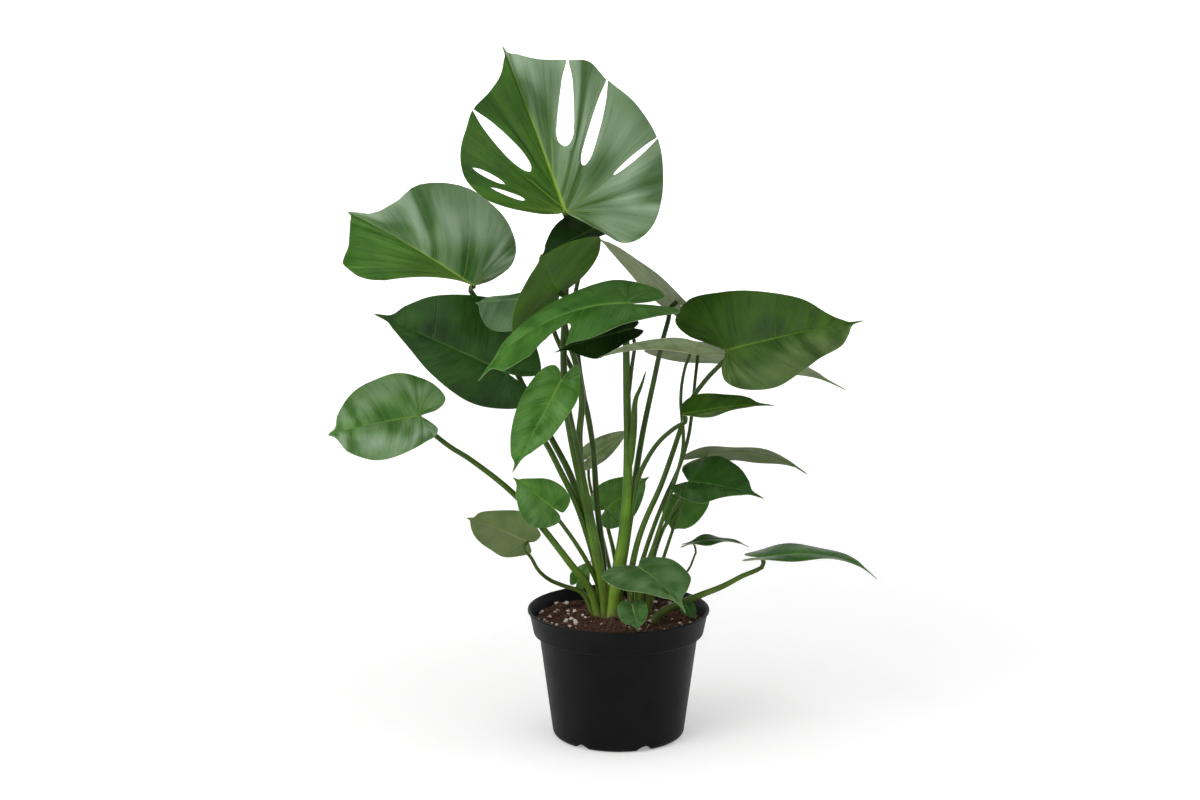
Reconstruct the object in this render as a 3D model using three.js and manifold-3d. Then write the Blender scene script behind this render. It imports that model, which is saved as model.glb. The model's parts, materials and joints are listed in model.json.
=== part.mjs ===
import * as THREE from "three";
import { mergeVertices } from "three/addons/utils/BufferGeometryUtils.js";
import Module from "manifold-3d";

const wasm = await Module();
wasm.setup();

// Potted monstera plant in a round nursery pot. Millimetres, +Z up, the front is -Y.
// The origin is the middle of the flat underside of the pot.

// ---- driving dimensions ----
const POT_HEIGHT = 144;
const RIM_RADIUS = 100;
const RIM_LIP = 3;
const BAND_HEIGHT = 27;
const BAND_RADIUS = 93.5;
const BODY_TOP_RADIUS = 87.5;
const BASE_RADIUS = 73;
const CORNER_RADIUS = 8;
const WALL = 2;
const FLOOR = 3;
const POT_SIDES = 32;
const NOTCH_COUNT = 6;
const NOTCH_WIDTH = 13;
const NOTCH_HEIGHT = 6;
const NOTCH_INNER_RADIUS = 58;
const NOTCH_FIRST_ANGLE = 24;

const SOIL_LEVEL = 130;
const GAP = 0.35;
const PERLITE_COUNT = 38;
const BARK_COUNT = 26;

const BLADE = 1.0;
const STALK_SIDES = 6;
const RING_SPACING = 32;
const HOLE_MARGIN = 2;
const ROOT_START = 0.0045;
const CROWN_FOOT = 108;
const CROWN_PULL = 0.72;

// ---- colours ----
const POT_BLACK = 0x1d1e20;
const SOIL_BROWN = 0x3a2418;
const STEM_GREEN = 0x55803a;
const LEAF_GREEN = 0x2f5f2c;
const LEAF_DARK = 0x1f4420;
const LEAF_LIGHT = 0x5b8f45;

// ---- small helpers ----
const rad = THREE.MathUtils.degToRad;
const vec = (p) => new THREE.Vector3(p[0], p[1], p[2]);

// Repeatable numbers between 0 and 1, so that the grains always fall alike.
function seeded(seed) {
  let state = seed;
  return () => {
    state = (state * 16807) % 2147483647;
    return state / 2147483647;
  };
}

function toSolid(geometry) {
  const plain = new THREE.BufferGeometry();
  plain.setAttribute("position", geometry.getAttribute("position"));
  if (geometry.index) plain.setIndex(geometry.index);
  const merged = mergeVertices(plain, 1e-4);
  const vertProperties = new Float32Array(merged.getAttribute("position").array);
  const triVerts = new Uint32Array(merged.index.array);
  return new wasm.Manifold(new wasm.Mesh({ numProp: 3, vertProperties, triVerts }));
}

function toGeometry(solid) {
  const mesh = solid.getMesh();
  const geometry = new THREE.BufferGeometry();
  const position = new THREE.BufferAttribute(new Float32Array(mesh.vertProperties), 3);
  geometry.setAttribute("position", position);
  geometry.setIndex(new THREE.BufferAttribute(new Uint32Array(mesh.triVerts), 1));
  return geometry;
}

const plant = new THREE.Group();
plant.name = "potted_monstera";

function addMesh(name, geometry, color) {
  const material = new THREE.MeshStandardMaterial({ color });
  const mesh = new THREE.Mesh(geometry, material);
  mesh.name = name;
  plant.add(mesh);
}

// ---- pot: one turned shell with a wide band under the lip and notches at the foot ----
const bandBottom = POT_HEIGHT - BAND_HEIGHT;
const lipBottom = POT_HEIGHT - RIM_LIP;

const innerLedge = bandBottom + 1.2;

function potInnerRadius(z) {
  if (z <= innerLedge) {
    const share = (z - FLOOR) / (innerLedge - FLOOR);
    return THREE.MathUtils.lerp(BASE_RADIUS - WALL, BODY_TOP_RADIUS - WALL, share);
  }
  const share = (z - innerLedge) / (POT_HEIGHT - innerLedge);
  return THREE.MathUtils.lerp(BAND_RADIUS - WALL, RIM_RADIUS - WALL - 1, share);
}

function potGeometry() {
  const points = [new THREE.Vector2(0, 0)];
  for (let step = 0; step <= 3; step += 1) {
    const angle = (step / 3) * (Math.PI / 2);
    const radius = BASE_RADIUS - CORNER_RADIUS + CORNER_RADIUS * Math.sin(angle);
    points.push(new THREE.Vector2(radius, CORNER_RADIUS * (1 - Math.cos(angle))));
  }
  points.push(new THREE.Vector2(BODY_TOP_RADIUS, bandBottom - 1));
  points.push(new THREE.Vector2(BAND_RADIUS, bandBottom + 0.5));
  points.push(new THREE.Vector2(RIM_RADIUS - 2, lipBottom));
  points.push(new THREE.Vector2(RIM_RADIUS, lipBottom + 0.8));
  points.push(new THREE.Vector2(RIM_RADIUS, POT_HEIGHT));
  points.push(new THREE.Vector2(potInnerRadius(POT_HEIGHT), POT_HEIGHT));
  points.push(new THREE.Vector2(potInnerRadius(innerLedge + 1), innerLedge + 1));
  points.push(new THREE.Vector2(potInnerRadius(innerLedge), innerLedge));
  points.push(new THREE.Vector2(potInnerRadius(CORNER_RADIUS), CORNER_RADIUS));
  points.push(new THREE.Vector2(BASE_RADIUS - CORNER_RADIUS, FLOOR));
  points.push(new THREE.Vector2(0, FLOOR));
  return new THREE.LatheGeometry(points, POT_SIDES).rotateX(Math.PI / 2);
}

function makePot() {
  let pot = toSolid(potGeometry());
  const length = BASE_RADIUS + 10 - NOTCH_INNER_RADIUS;
  for (let index = 0; index < NOTCH_COUNT; index += 1) {
    const angle = rad(-90 + NOTCH_FIRST_ANGLE + (index * 360) / NOTCH_COUNT);
    const notch = new THREE.BoxGeometry(length, NOTCH_WIDTH, NOTCH_HEIGHT * 2);
    notch.translate(NOTCH_INNER_RADIUS + length / 2, 0, 0);
    notch.rotateZ(angle);
    pot = pot.subtract(toSolid(notch));
  }
  return pot;
}

// ---- soil: fills the pot, softly uneven on top, with white grains and bark bits ----
function soilHeight(x, y) {
  const mound = 2.2 * Math.cos(x / 31 + 0.6) * Math.cos(y / 27 - 0.4);
  return SOIL_LEVEL + mound + 1.2 * Math.sin(x / 11 - y / 14);
}

function makeSoil() {
  const low = FLOOR + GAP;
  const profile = [new THREE.Vector2(0, low)];
  profile.push(new THREE.Vector2(BASE_RADIUS - CORNER_RADIUS - 1, low));
  profile.push(new THREE.Vector2(potInnerRadius(CORNER_RADIUS) - GAP - 0.4, CORNER_RADIUS));
  profile.push(new THREE.Vector2(potInnerRadius(innerLedge) - GAP - 0.4, innerLedge + 0.2));
  profile.push(new THREE.Vector2(potInnerRadius(innerLedge + 1) - 4, innerLedge + 3));
  profile.push(new THREE.Vector2(potInnerRadius(SOIL_LEVEL) - 3, SOIL_LEVEL));
  for (const radius of [70, 47, 24]) profile.push(new THREE.Vector2(radius, SOIL_LEVEL));
  profile.push(new THREE.Vector2(0, SOIL_LEVEL));
  const body = new THREE.LatheGeometry(profile, 28).rotateX(Math.PI / 2);
  const position = body.getAttribute("position");
  for (let index = 0; index < position.count; index += 1) {
    if (position.getZ(index) > SOIL_LEVEL - 0.01) {
      position.setZ(index, soilHeight(position.getX(index), position.getY(index)));
    }
  }
  let soil = toSolid(body);
  const random = seeded(4711);
  const grains = [];
  for (let index = 0; index < PERLITE_COUNT + BARK_COUNT; index += 1) {
    const isPerlite = index < PERLITE_COUNT;
    const distance = 84 * Math.sqrt(random());
    const angle = random() * Math.PI * 2;
    const x = distance * Math.cos(angle);
    const y = distance * Math.sin(angle);
    const size = isPerlite ? 2.4 + 1.3 * random() : 3 + 3 * random();
    const Shape = isPerlite ? THREE.IcosahedronGeometry : THREE.OctahedronGeometry;
    const grain = new Shape(size, 0);
    if (!isPerlite) grain.scale(1.2, 0.7, 0.5);
    grain.rotateX(random() * 0.8);
    grain.rotateZ(random() * Math.PI);
    grain.translate(x, y, soilHeight(x, y) + size * 0.1);
    if (Math.hypot(x - 6, y - 6) > 38) grains.push(toSolid(grain));
  }
  for (const grain of grains) soil = soil.add(grain);
  return soil;
}

// ---- stems: round rods that follow a curve and taper toward the leaf ----
// points: the way from the foot to the leaf. foot and top: radii at both ends.
function makeRod({ points, foot, top }) {
  const curve = new THREE.CatmullRomCurve3(points.map(vec), false, "centripetal");
  const count = Math.max(5, Math.round(curve.getLength() / RING_SPACING));
  const geometry = new THREE.CylinderGeometry(1, 1, count, STALK_SIDES, count);
  const frames = curve.computeFrenetFrames(count, false);
  const position = geometry.getAttribute("position");
  const offset = new THREE.Vector3();
  for (let index = 0; index < position.count; index += 1) {
    const ring = Math.round(position.getY(index) + count / 2);
    const share = ring / count;
    const radius = THREE.MathUtils.lerp(foot, top, share ** 0.8);
    offset.copy(frames.normals[ring]).multiplyScalar(position.getZ(index) * radius);
    offset.addScaledVector(frames.binormals[ring], position.getX(index) * radius);
    offset.add(curve.getPointAt(share));
    position.setXYZ(index, offset.x, offset.y, offset.z);
  }
  return toSolid(geometry);
}

// ---- leaf blades ----
// A plain heart-shaped half margin from the notch round the base lobe to the tip:
// share of the length along the midrib, share of the half width.
const HEART = [
  [-0.05, 0.03],
  [-0.16, 0.16],
  [-0.24, 0.42],
  [-0.2, 0.7],
  [-0.02, 0.93],
  [0.2, 1.0],
  [0.45, 0.88],
  [0.68, 0.6],
  [0.86, 0.27],
];

// A leaf states its half margins as shares along the midrib and millimetres across,
// or a half width for the plain heart.
function halfMargin(leaf, side) {
  const own = side === 0 ? leaf.left : leaf.right;
  const lobe = leaf.lobe ?? 1;
  const plain = HEART.map(([s, h]) => [s < 0 ? s * lobe : s, h * (leaf.width ? leaf.width[side] : 0)]);
  const list = own || plain;
  const points = [...list, [1, 0]].map(([s, v]) => new THREE.Vector3(s * 100, v, 0));
  const curve = new THREE.CatmullRomCurve3(points, false, "centripetal");
  const reach = Math.max(...list.map(([, v]) => v));
  return { curve, reach, count: list.length };
}

// The midrib leaves the stalk straight and bends more and more toward the tip. It is
// laid out so that its chord runs from the base to the tip point.
function midrib(chord, bend, power) {
  const count = 24;
  const steps = [[0, 0, 0]];
  for (let index = 1; index <= count; index += 1) {
    const slope = -bend * ((index - 0.5) / count) ** power;
    const [forward, rise] = steps[index - 1];
    steps.push([forward + Math.cos(slope), rise + Math.sin(slope), -bend * (index / count) ** power]);
  }
  const [lastForward, lastRise] = steps[count];
  const lift = -Math.atan2(lastRise, lastForward);
  const scale = chord / Math.hypot(lastForward, lastRise);
  const at = (s) => {
    const place = Math.min(Math.max(s, 0), 1) * count;
    const index = Math.min(Math.floor(place), count - 1);
    const share = place - index;
    const [f0, r0, a0] = steps[index];
    const [f1, r1, a1] = steps[index + 1];
    const forward = (f0 + (f1 - f0) * share) * scale;
    const rise = (r0 + (r1 - r0) * share) * scale;
    const slope = a0 + (a1 - a0) * share + lift;
    const behind = Math.min(s, 0) * count * scale;
    return {
      forward: forward * Math.cos(lift) - rise * Math.sin(lift) + behind * Math.cos(lift),
      rise: forward * Math.sin(lift) + rise * Math.cos(lift) + behind * Math.sin(lift),
      slope,
    };
  };
  return { at, length: count * scale };
}

// Turns flat leaf coordinates (share s along the midrib, v mm across, left is +)
// into a point in the pot's frame.
function leafSurface(leaf) {
  const base = vec(leaf.base);
  const along = vec(leaf.tip).sub(base);
  const chord = along.length();
  along.normalize();
  const face = vec(leaf.face);
  face.addScaledVector(along, -face.dot(along)).normalize();
  const across = new THREE.Vector3().crossVectors(face, along);
  const rib = midrib(chord, rad(leaf.bend ?? 30), leaf.power ?? 1.5);
  const fold = (leaf.fold ?? [8, 8]).map(rad);
  const curl = (leaf.curl ?? [-20, -20]).map(rad);
  const wave = leaf.wave ?? 3;
  const reaches = [halfMargin(leaf, 0).reach, halfMargin(leaf, 1).reach];
  const place = (s, v) => {
    const side = v >= 0 ? 0 : 1;
    const width = reaches[side];
    const reach = Math.abs(v);
    const { forward, rise, slope } = rib.at(s);
    const turn = (curl[side] * reach) / width;
    const lean = fold[side] + turn / 2;
    const bow = turn === 0 ? 1 : Math.sin(turn / 2) / (turn / 2);
    const out = reach * bow * Math.cos(lean);
    let up = reach * bow * Math.sin(lean);
    up += wave * (reach / width) ** 2 * Math.sin(s * 8 + (leaf.phase ?? 0) + side * 2);
    const point = base.clone();
    point.addScaledVector(along, forward - up * Math.sin(slope));
    point.addScaledVector(face, rise + up * Math.cos(slope));
    point.addScaledVector(across, side === 0 ? out : -out);
    return point;
  };
  const start = rib.at(0).slope;
  const normal = face.clone().multiplyScalar(Math.cos(start)).addScaledVector(along, -Math.sin(start));
  return { place, length: rib.length, base, normal };
}

// A leaf half is a grid whose columns follow the side veins from the midrib to the
// points of the margin. A cut opens one column line by the given widths at its rows.
// rootPower gathers the roots of the veins toward the stalk, and the roots that are
// nearer than ROOT_START all leave from the base. linePowers sweep the veins of the
// left and the right half toward the tip.
function leafSheet(leaf) {
  const { place, length } = leafSurface(leaf);
  const rowShares = leaf.rowShares ?? [0, 0.35, 0.7, 1];
  const rows = rowShares.length - 1;
  const powers = leaf.linePowers ?? [1.35, 1.35];
  const margins = [halfMargin(leaf, 0), halfMargin(leaf, 1)];
  const columns = margins[0].count;
  const edges = [];
  for (let column = 0; column <= columns; column += 1) {
    edges.push(margins.map(({ curve }) => curve.getPoint(column / columns)));
  }
  const roots = edges.map(([left, right]) => {
    const share = Math.max(0, ((left.x + right.x) / 200 - 0.1) / 0.9) ** (leaf.rootPower ?? 1.3);
    return Math.max(0, share - ROOT_START) / (1 - ROOT_START);
  });
  const points = [];
  const triangles = [];
  for (const side of [0, 1]) {
    const sign = side === 0 ? 1 : -1;
    const line = (column, t) => {
      const edge = edges[column][side];
      const forward = roots[column] + (edge.x / 100 - roots[column]) * t ** powers[side];
      return new THREE.Vector2(forward * length, edge.y * t);
    };
    const cuts = (leaf.cuts ?? []).filter((cut) => cut.side === side);
    const corner = (column, row, tipward) => {
      const t = rowShares[row];
      const spot = line(column, t);
      const cut = cuts.find((item) => item.column === column);
      if (cut && cut.widths[row] > 0) {
        const way = line(column, t + 0.01).sub(line(column, t - 0.01)).normalize();
        const shift = tipward * 0.5 * cut.widths[row];
        spot.x += way.y * shift;
        spot.y -= way.x * shift;
      }
      return place(spot.x / length, sign * spot.y);
    };
    for (let column = 0; column < columns; column += 1) {
      for (let row = 0; row < rows; row += 1) {
        const quad = [corner(column, row, 1), corner(column + 1, row, -1)];
        quad.push(corner(column + 1, row + 1, -1), corner(column, row + 1, 1));
        const first = points.length;
        points.push(...quad);
        const order = side === 0 ? [0, 1, 2, 0, 2, 3] : [0, 2, 1, 0, 3, 2];
        triangles.push(...order.map((item) => first + item));
      }
    }
  }
  return { points, triangles };
}

// Merges equal corners, then gives the sheet its thickness with both faces alike.
function thicken({ points, triangles }, thickness) {
  const keys = new Map();
  const merged = [];
  const lookup = points.map((point) => {
    const key = point.toArray().map((value) => Math.round(value * 200)).join(",");
    if (!keys.has(key)) {
      keys.set(key, merged.length);
      merged.push(point);
    }
    return keys.get(key);
  });
  const faces = [];
  for (let index = 0; index < triangles.length; index += 3) {
    const face = [0, 1, 2].map((step) => lookup[triangles[index + step]]);
    if (new Set(face).size === 3) faces.push(face);
  }
  const normals = merged.map(() => new THREE.Vector3());
  const edges = new Map();
  for (const [a, b, c] of faces) {
    const one = merged[b].clone().sub(merged[a]);
    const two = merged[c].clone().sub(merged[a]);
    const normal = one.cross(two).normalize();
    for (const corner of [a, b, c]) normals[corner].add(normal);
    for (const [from, to] of [[a, b], [b, c], [c, a]]) edges.set(`${from},${to}`, [from, to]);
  }
  const half = thickness / 2;
  const count = merged.length;
  const position = new Float32Array(count * 6);
  merged.forEach((point, index) => {
    const normal = normals[index].normalize();
    const upper = point.clone().addScaledVector(normal, half);
    const lower = point.clone().addScaledVector(normal, -half);
    upper.toArray(position, index * 3);
    lower.toArray(position, (count + index) * 3);
  });
  const index = [];
  for (const [a, b, c] of faces) index.push(a, b, c, count + a, count + c, count + b);
  for (const [from, to] of edges.values()) {
    if (!edges.has(`${to},${from}`)) {
      index.push(from, count + from, count + to, from, count + to, to);
    }
  }
  const geometry = new THREE.BufferGeometry();
  geometry.setAttribute("position", new THREE.BufferAttribute(position, 3));
  geometry.setIndex(index);
  return geometry;
}

// base: where the stalk meets the blade. face: the way the upper side looks.
// width: half widths left and right, seen from above with the tip ahead.
const leaves = [
  {
    name: "leaf_top", color: LEAF_GREEN,
    base: [-57, -10, 584], tip: [-124, 72, 749], face: [0.05, -0.85, 0.5],
    left: [[0, 8], [0.02, 22], [0.07, 42], [0.14, 64], [0.22, 80], [0.35, 90], [0.45, 88], [0.54, 81],
      [0.62, 70], [0.71, 56], [0.78, 32], [0.86, 14], [0.94, 5]],
    right: [[-0.017, 2.2], [-0.16, 28], [-0.26, 46], [-0.26, 70], [-0.18, 92], [0, 112], [0.25, 124],
      [0.46, 115], [0.64, 93], [0.77, 82], [0.82, 60], [0.88, 30], [0.95, 11]],
    cuts: [
      { side: 1, column: 10, widths: [0, 0, 0, 0, 11, 19, 18, 15, 11, 5] },
      { side: 1, column: 8, widths: [0, 0, 0, 0, 9, 12, 12, 11, 8, 3] },
      { side: 1, column: 6, widths: [0, 0, 0, 0, 0, 0, 4, 6, 5, 2] },
      { side: 0, column: 9, widths: [0, 0, 0, 0, 10, 16, 17, 15, 10, 4] },
      { side: 0, column: 6, widths: [0, 0, 0, 0, 0, 0, 0, 6, 0, 0] },
      { side: 0, column: 5, widths: [0, 0, 0, 0, 0, 5, 5, 0, 0, 0] },
    ],
    rowShares: [0, 0.14, 0.28, 0.37, 0.42, 0.5, 0.6, 0.74, 0.88, 1],
    bend: 16, fold: [5, 5], curl: [-14, -16], wave: 4, rootPower: 7, linePowers: [1.15, 1.15],
  },
  {
    name: "leaf_upper_left", color: LEAF_LIGHT,
    base: [-158, 50, 494], tip: [-291, 40, 576], face: [0.1, -0.75, 0.65],
    left: [[0.569, 51.5], [0.676, 60], [0.756, 63], [0.815, 62.3], [0.878, 60], [0.894, 52.3],
      [0.902, 39.4], [0.925, 29.1], [0.948, 20], [0.974, 9.6]],
    right: [[-0.03, 5], [-0.085, 16], [-0.126, 28], [-0.169, 46.7], [-0.154, 66.7], [-0.08, 83.2],
      [0.073, 99], [0.333, 106], [0.672, 71.8], [0.78, 31.8]],
    bend: 16, fold: [3, 5], curl: [-14, -14], rootPower: 4.5, linePowers: [0.7, 1.35],
  },
  {
    name: "leaf_mid_left", color: LEAF_DARK,
    base: [-121, 38, 399], tip: [-256, -7, 470], face: [-0.1, -0.9, 0.4],
    left: [[-0.043, 1.1], [-0.15, 5], [-0.26, 10.4], [-0.21, 24.7], [-0.09, 36.3], [0.2, 47.6],
      [0.52, 36.5], [0.78, 17], [0.9, 7]],
    right: [[-0.043, 1.1], [-0.13, 5], [-0.22, 15], [-0.12, 40], [0.06, 64], [0.24, 70], [0.42, 64],
      [0.72, 43], [0.88, 20]],
    bend: 14, curl: [-14, -14],
  },
  {
    name: "leaf_low_left", color: LEAF_GREEN,
    base: [-214, -30, 366], tip: [-305, -75, 356], face: [-0.1, -0.75, 0.6],
    left: [[-0.017, 1.7], [-0.08, 10], [-0.13, 20], [-0.08, 28], [0.05, 34], [0.25, 42], [0.5, 45],
      [0.75, 41], [0.93, 26]],
    right: [[-0.07, 1.2], [-0.24, 5], [-0.36, 16], [-0.3, 36], [-0.14, 48], [0.1, 57], [0.38, 53],
      [0.66, 39], [0.88, 18]],
    bend: 14, curl: [-14, -14],
  },
  {
    name: "leaf_folded", color: LEAF_LIGHT,
    base: [-64, 10, 493], tip: [-82, -60, 544], face: [-0.71, 0.53, 0.46],
    left: [[-0.03, 3], [-0.08, 14], [-0.1, 30], [-0.04, 48], [0.1, 64], [0.3, 70], [0.52, 60],
      [0.72, 38], [0.88, 16]],
    right: [[-0.05, 2.3], [-0.16, 12.5], [-0.24, 32.8], [-0.2, 54.6], [-0.02, 72.5], [0.2, 78],
      [0.45, 68.6], [0.68, 46.8], [0.86, 21]],
    bend: 10, fold: [0, 0], curl: [-12, -12],
  },
  {
    name: "leaf_crown_dark", color: LEAF_DARK,
    base: [-20, 25, 564], tip: [-84, 0, 534], face: [-0.1, -0.75, 0.65],
    width: [14, 32], bend: 14, curl: [-10, -14],
  },
  {
    name: "leaf_cup", color: LEAF_LIGHT,
    base: [-80, 17, 486], tip: [-152, 3, 484], face: [-0.2, 0.85, 0.45],
    left: [[-0.02, 2], [0.04, 4], [0.12, 6], [0.25, 7], [0.4, 8], [0.58, 8], [0.76, 6], [0.92, 3]],
    right: [[-0.03, 5], [-0.05, 14], [0.04, 26], [0.22, 35], [0.45, 42], [0.7, 44], [0.86, 34],
      [0.96, 16]],
    bend: 10, curl: [-12, -16],
  },
  {
    name: "leaf_under_top", color: LEAF_LIGHT,
    base: [64, 60, 475], tip: [-23, 100, 540], face: [0.7, 0.36, 0.62],
    width: [40, 40], bend: 6, fold: [0, 0], curl: [-10, -10], wave: 1,
  },
  {
    name: "leaf_centre", color: LEAF_GREEN,
    base: [10, -20, 487], tip: [-139, -80, 428], face: [-0.1, -0.45, 0.88],
    left: [[-0.05, 0.9], [-0.18, 6], [-0.31, 13], [-0.29, 22], [-0.125, 29], [0.148, 45.6],
      [0.367, 53.4], [0.6, 36], [0.765, 33.5], [0.933, 24.8]],
    right: [[-0.055, 0.9], [-0.18, 4], [-0.29, 12], [-0.307, 28], [-0.231, 42], [-0.08, 46.5],
      [0.119, 40], [0.429, 24], [0.644, 15], [0.852, 8]],
    cuts: [
      { side: 0, column: 7, widths: [0, 0, 0, 11, 20, 24] },
    ],
    rowShares: [0, 0.3, 0.56, 0.7, 0.85, 1],
    bend: 62, power: 1.2, curl: [-16, -16],
  },
  {
    name: "leaf_right_big", color: LEAF_DARK,
    base: [116, -20, 436], tip: [249, -60, 474], face: [0.1, -0.85, 0.5],
    left: [[-0.026, 1.7], [-0.163, 14], [-0.304, 28], [-0.382, 47.3], [-0.249, 68.4], [0.023, 65.2],
      [0.344, 53.7], [0.635, 36], [0.83, 12], [0.92, 4]],
    right: [[-0.01, 2.2], [-0.03, 9], [-0.055, 20.1], [-0.029, 36.2], [0.106, 49.1], [0.35, 53.5],
      [0.581, 43.1], [0.714, 34.1], [0.88, 25], [0.95, 12]],
    bend: 14, curl: [-12, -14],
  },
  {
    name: "leaf_shade", color: LEAF_DARK,
    base: [16, -5, 457], tip: [-61, -48, 442], face: [0, -0.75, 0.65],
    left: [[-0.025, 1.1], [-0.1, 6], [0, 12], [0.2, 16], [0.45, 22], [0.7, 23], [0.88, 12]],
    right: [[-0.032, 1.1], [-0.1, 5], [-0.06, 10], [0.15, 14], [0.4, 14], [0.66, 10], [0.86, 5]],
    bend: 12, curl: [-10, -10],
  },
  {
    name: "leaf_arched", color: LEAF_LIGHT,
    base: [76, -28, 434], tip: [-19, -56, 436], face: [0, -0.05, 1],
    width: [25, 24], bend: 30, power: 1, fold: [46, 6], curl: [-10, -16], wave: 1,
  },
  {
    name: "leaf_right_back", color: LEAF_LIGHT,
    base: [88, 72, 416], tip: [240, 50, 384], face: [0.1, 0.4, 0.9],
    width: [48, 48], lobe: 1.6, bend: 20,
  },
  {
    name: "leaf_front_centre", color: LEAF_GREEN,
    base: [-61, -60, 412], tip: [-110, -100, 325], face: [0.1, -0.9, 0.4],
    left: [[-0.046, 0.8], [-0.12, 2.4], [-0.2, 6], [-0.18, 12], [-0.07, 18], [0.12, 25], [0.36, 23],
      [0.6, 18], [0.8, 8]],
    right: [[-0.022, 1.7], [-0.08, 8], [-0.09, 14], [-0.02, 22], [0.12, 27], [0.34, 29], [0.56, 26],
      [0.76, 19], [0.92, 9]],
    bend: 16, curl: [-14, -14],
  },
  {
    name: "leaf_back_small", color: LEAF_DARK,
    base: [-34, 90, 292], tip: [12, 98, 323], face: [0, -0.95, 0.3],
    width: [14, 13], bend: 14,
  },
  {
    name: "leaf_round_left", color: LEAF_GREEN,
    base: [-71, -20, 262], tip: [-111, -45, 300], face: [0, -0.9, 0.4],
    left: [[-0.07, 0.7], [-0.24, 3.2], [-0.278, 8], [-0.158, 19.4], [0.021, 26.6], [0.273, 31.8],
      [0.512, 28.1], [0.856, 13.6]],
    right: [[-0.09, 0.9], [-0.25, 3.2], [-0.235, 16.7], [-0.048, 22.3], [0.187, 24.5], [0.51, 19.5],
      [0.778, 9.5], [0.903, 4.2]],
    bend: 16, curl: [-14, -14],
  },
  {
    name: "leaf_olive_left", color: LEAF_LIGHT,
    base: [-99, -5, 220], tip: [-163, 15, 241], face: [-0.2, 0.75, 0.6],
    left: [[-0.04, 1], [-0.13, 7], [-0.2, 22], [0.01, 39], [0.45, 34], [0.7, 22.4], [0.89, 11]],
    right: [[-0.02, 3], [-0.05, 20], [0.2, 38], [0.5, 48], [0.74, 47], [0.91, 33], [0.99, 16]],
    bend: 14, curl: [-12, -12],
  },
  {
    name: "leaf_round_back", color: LEAF_GREEN,
    base: [-14, 80, 236], tip: [33, 88, 270], face: [0, -0.9, 0.4],
    width: [26, 27], bend: 14,
  },
  {
    name: "leaf_right_flat", color: LEAF_GREEN,
    base: [69, -30, 368], tip: [158, -45, 381], face: [0, -0.5, 0.85],
    left: [[-0.018, 1.7], [-0.04, 11], [0.035, 21.4], [0.342, 23.7], [0.596, 20.5], [0.8, 11]],
    right: [[-0.016, 1.2], [0.06, 4.5], [0.178, 7.6], [0.352, 8.2], [0.525, 6.7], [0.76, 4]],
    bend: 16, fold: [5, 0], curl: [-10, -20],
  },
  {
    name: "leaf_right_grey", color: LEAF_LIGHT,
    base: [96, 60, 301], tip: [204, 35, 290], face: [0.1, 0.5, 0.87],
    width: [30, 34], bend: 50, power: 1, fold: [0, 0], curl: [-10, -10],
  },
  {
    name: "leaf_right_dark", color: LEAF_DARK,
    base: [76, -10, 289], tip: [149, -50, 282], face: [0.1, -0.6, 0.8],
    left: [[-0.029, 1.7], [-0.12, 9], [-0.2, 18], [-0.05, 34], [0.2, 40], [0.53, 34], [0.8, 15]],
    right: [[-0.033, 1.7], [-0.12, 7], [-0.2, 12.5], [-0.02, 24], [0.3, 26], [0.55, 18], [0.8, 7]],
    bend: 20, curl: [-12, -30],
  },
  {
    name: "leaf_right_green", color: LEAF_LIGHT,
    base: [73, 62, 254], tip: [60, 54, 219], face: [0.2, 0.9, 0.3],
    left: [[-0.016, 1.1], [-0.06, 6], [0.02, 12], [0.17, 17], [0.4, 19], [0.62, 17], [0.84, 12]],
    right: [[-0.04, 2], [-0.24, 14], [-0.22, 26], [0, 29], [0.19, 28], [0.62, 22], [0.86, 13]],
    bend: 16, curl: [-10, -10],
  },
  {
    name: "leaf_right_thin", color: LEAF_DARK,
    base: [82, 12, 215], tip: [139, 4, 214], face: [0, -0.05, 1],
    width: [14, 14], bend: 40, power: 1,
  },
  {
    name: "leaf_low_right", color: LEAF_GREEN,
    base: [156, -20, 207], tip: [273, -40, 194], face: [0, -0.02, 1],
    width: [28, 18], lobe: 0.7, bend: 46, power: 2, fold: [14, 6],
  },
  {
    name: "leaf_front_rim", color: LEAF_GREEN,
    base: [21, -50, 204], tip: [65, -88, 172], face: [0.1, -0.45, 0.9],
    left: [[-0.022, 1.7], [-0.1, 10], [-0.04, 20], [0.1, 28], [0.28, 35], [0.51, 39], [0.68, 36],
      [0.86, 19]],
    right: [[-0.029, 1.7], [-0.12, 9], [-0.22, 24], [-0.21, 41], [-0.04, 48], [0.21, 42], [0.47, 29],
      [0.76, 13]],
    bend: 24, curl: [-14, -14],
  },
  {
    name: "leaf_front_small", color: LEAF_GREEN,
    base: [14, -62, 166], tip: [20, -84, 144], face: [0, -0.9, 0.4],
    left: [[-0.04, 3], [-0.05, 9], [0.2, 15], [0.66, 12], [0.89, 6]],
    right: [[-0.05, 2], [-0.17, 8], [-0.04, 15], [0.39, 17], [0.75, 12]],
    bend: 14,
  },
  {
    name: "leaf_tiny_right", color: LEAF_DARK,
    base: [73, -32, 155], tip: [84, -38, 143], face: [0.1, -0.85, 0.5],
    width: [8.5, 8], bend: 16, wave: 1,
  },
  {
    name: "leaf_tiny_left", color: LEAF_LIGHT,
    base: [-46, 24, 166], tip: [-31, 20, 191], face: [0, -0.8, 0.6],
    width: [11, 11], bend: 20,
  },
];

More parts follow.
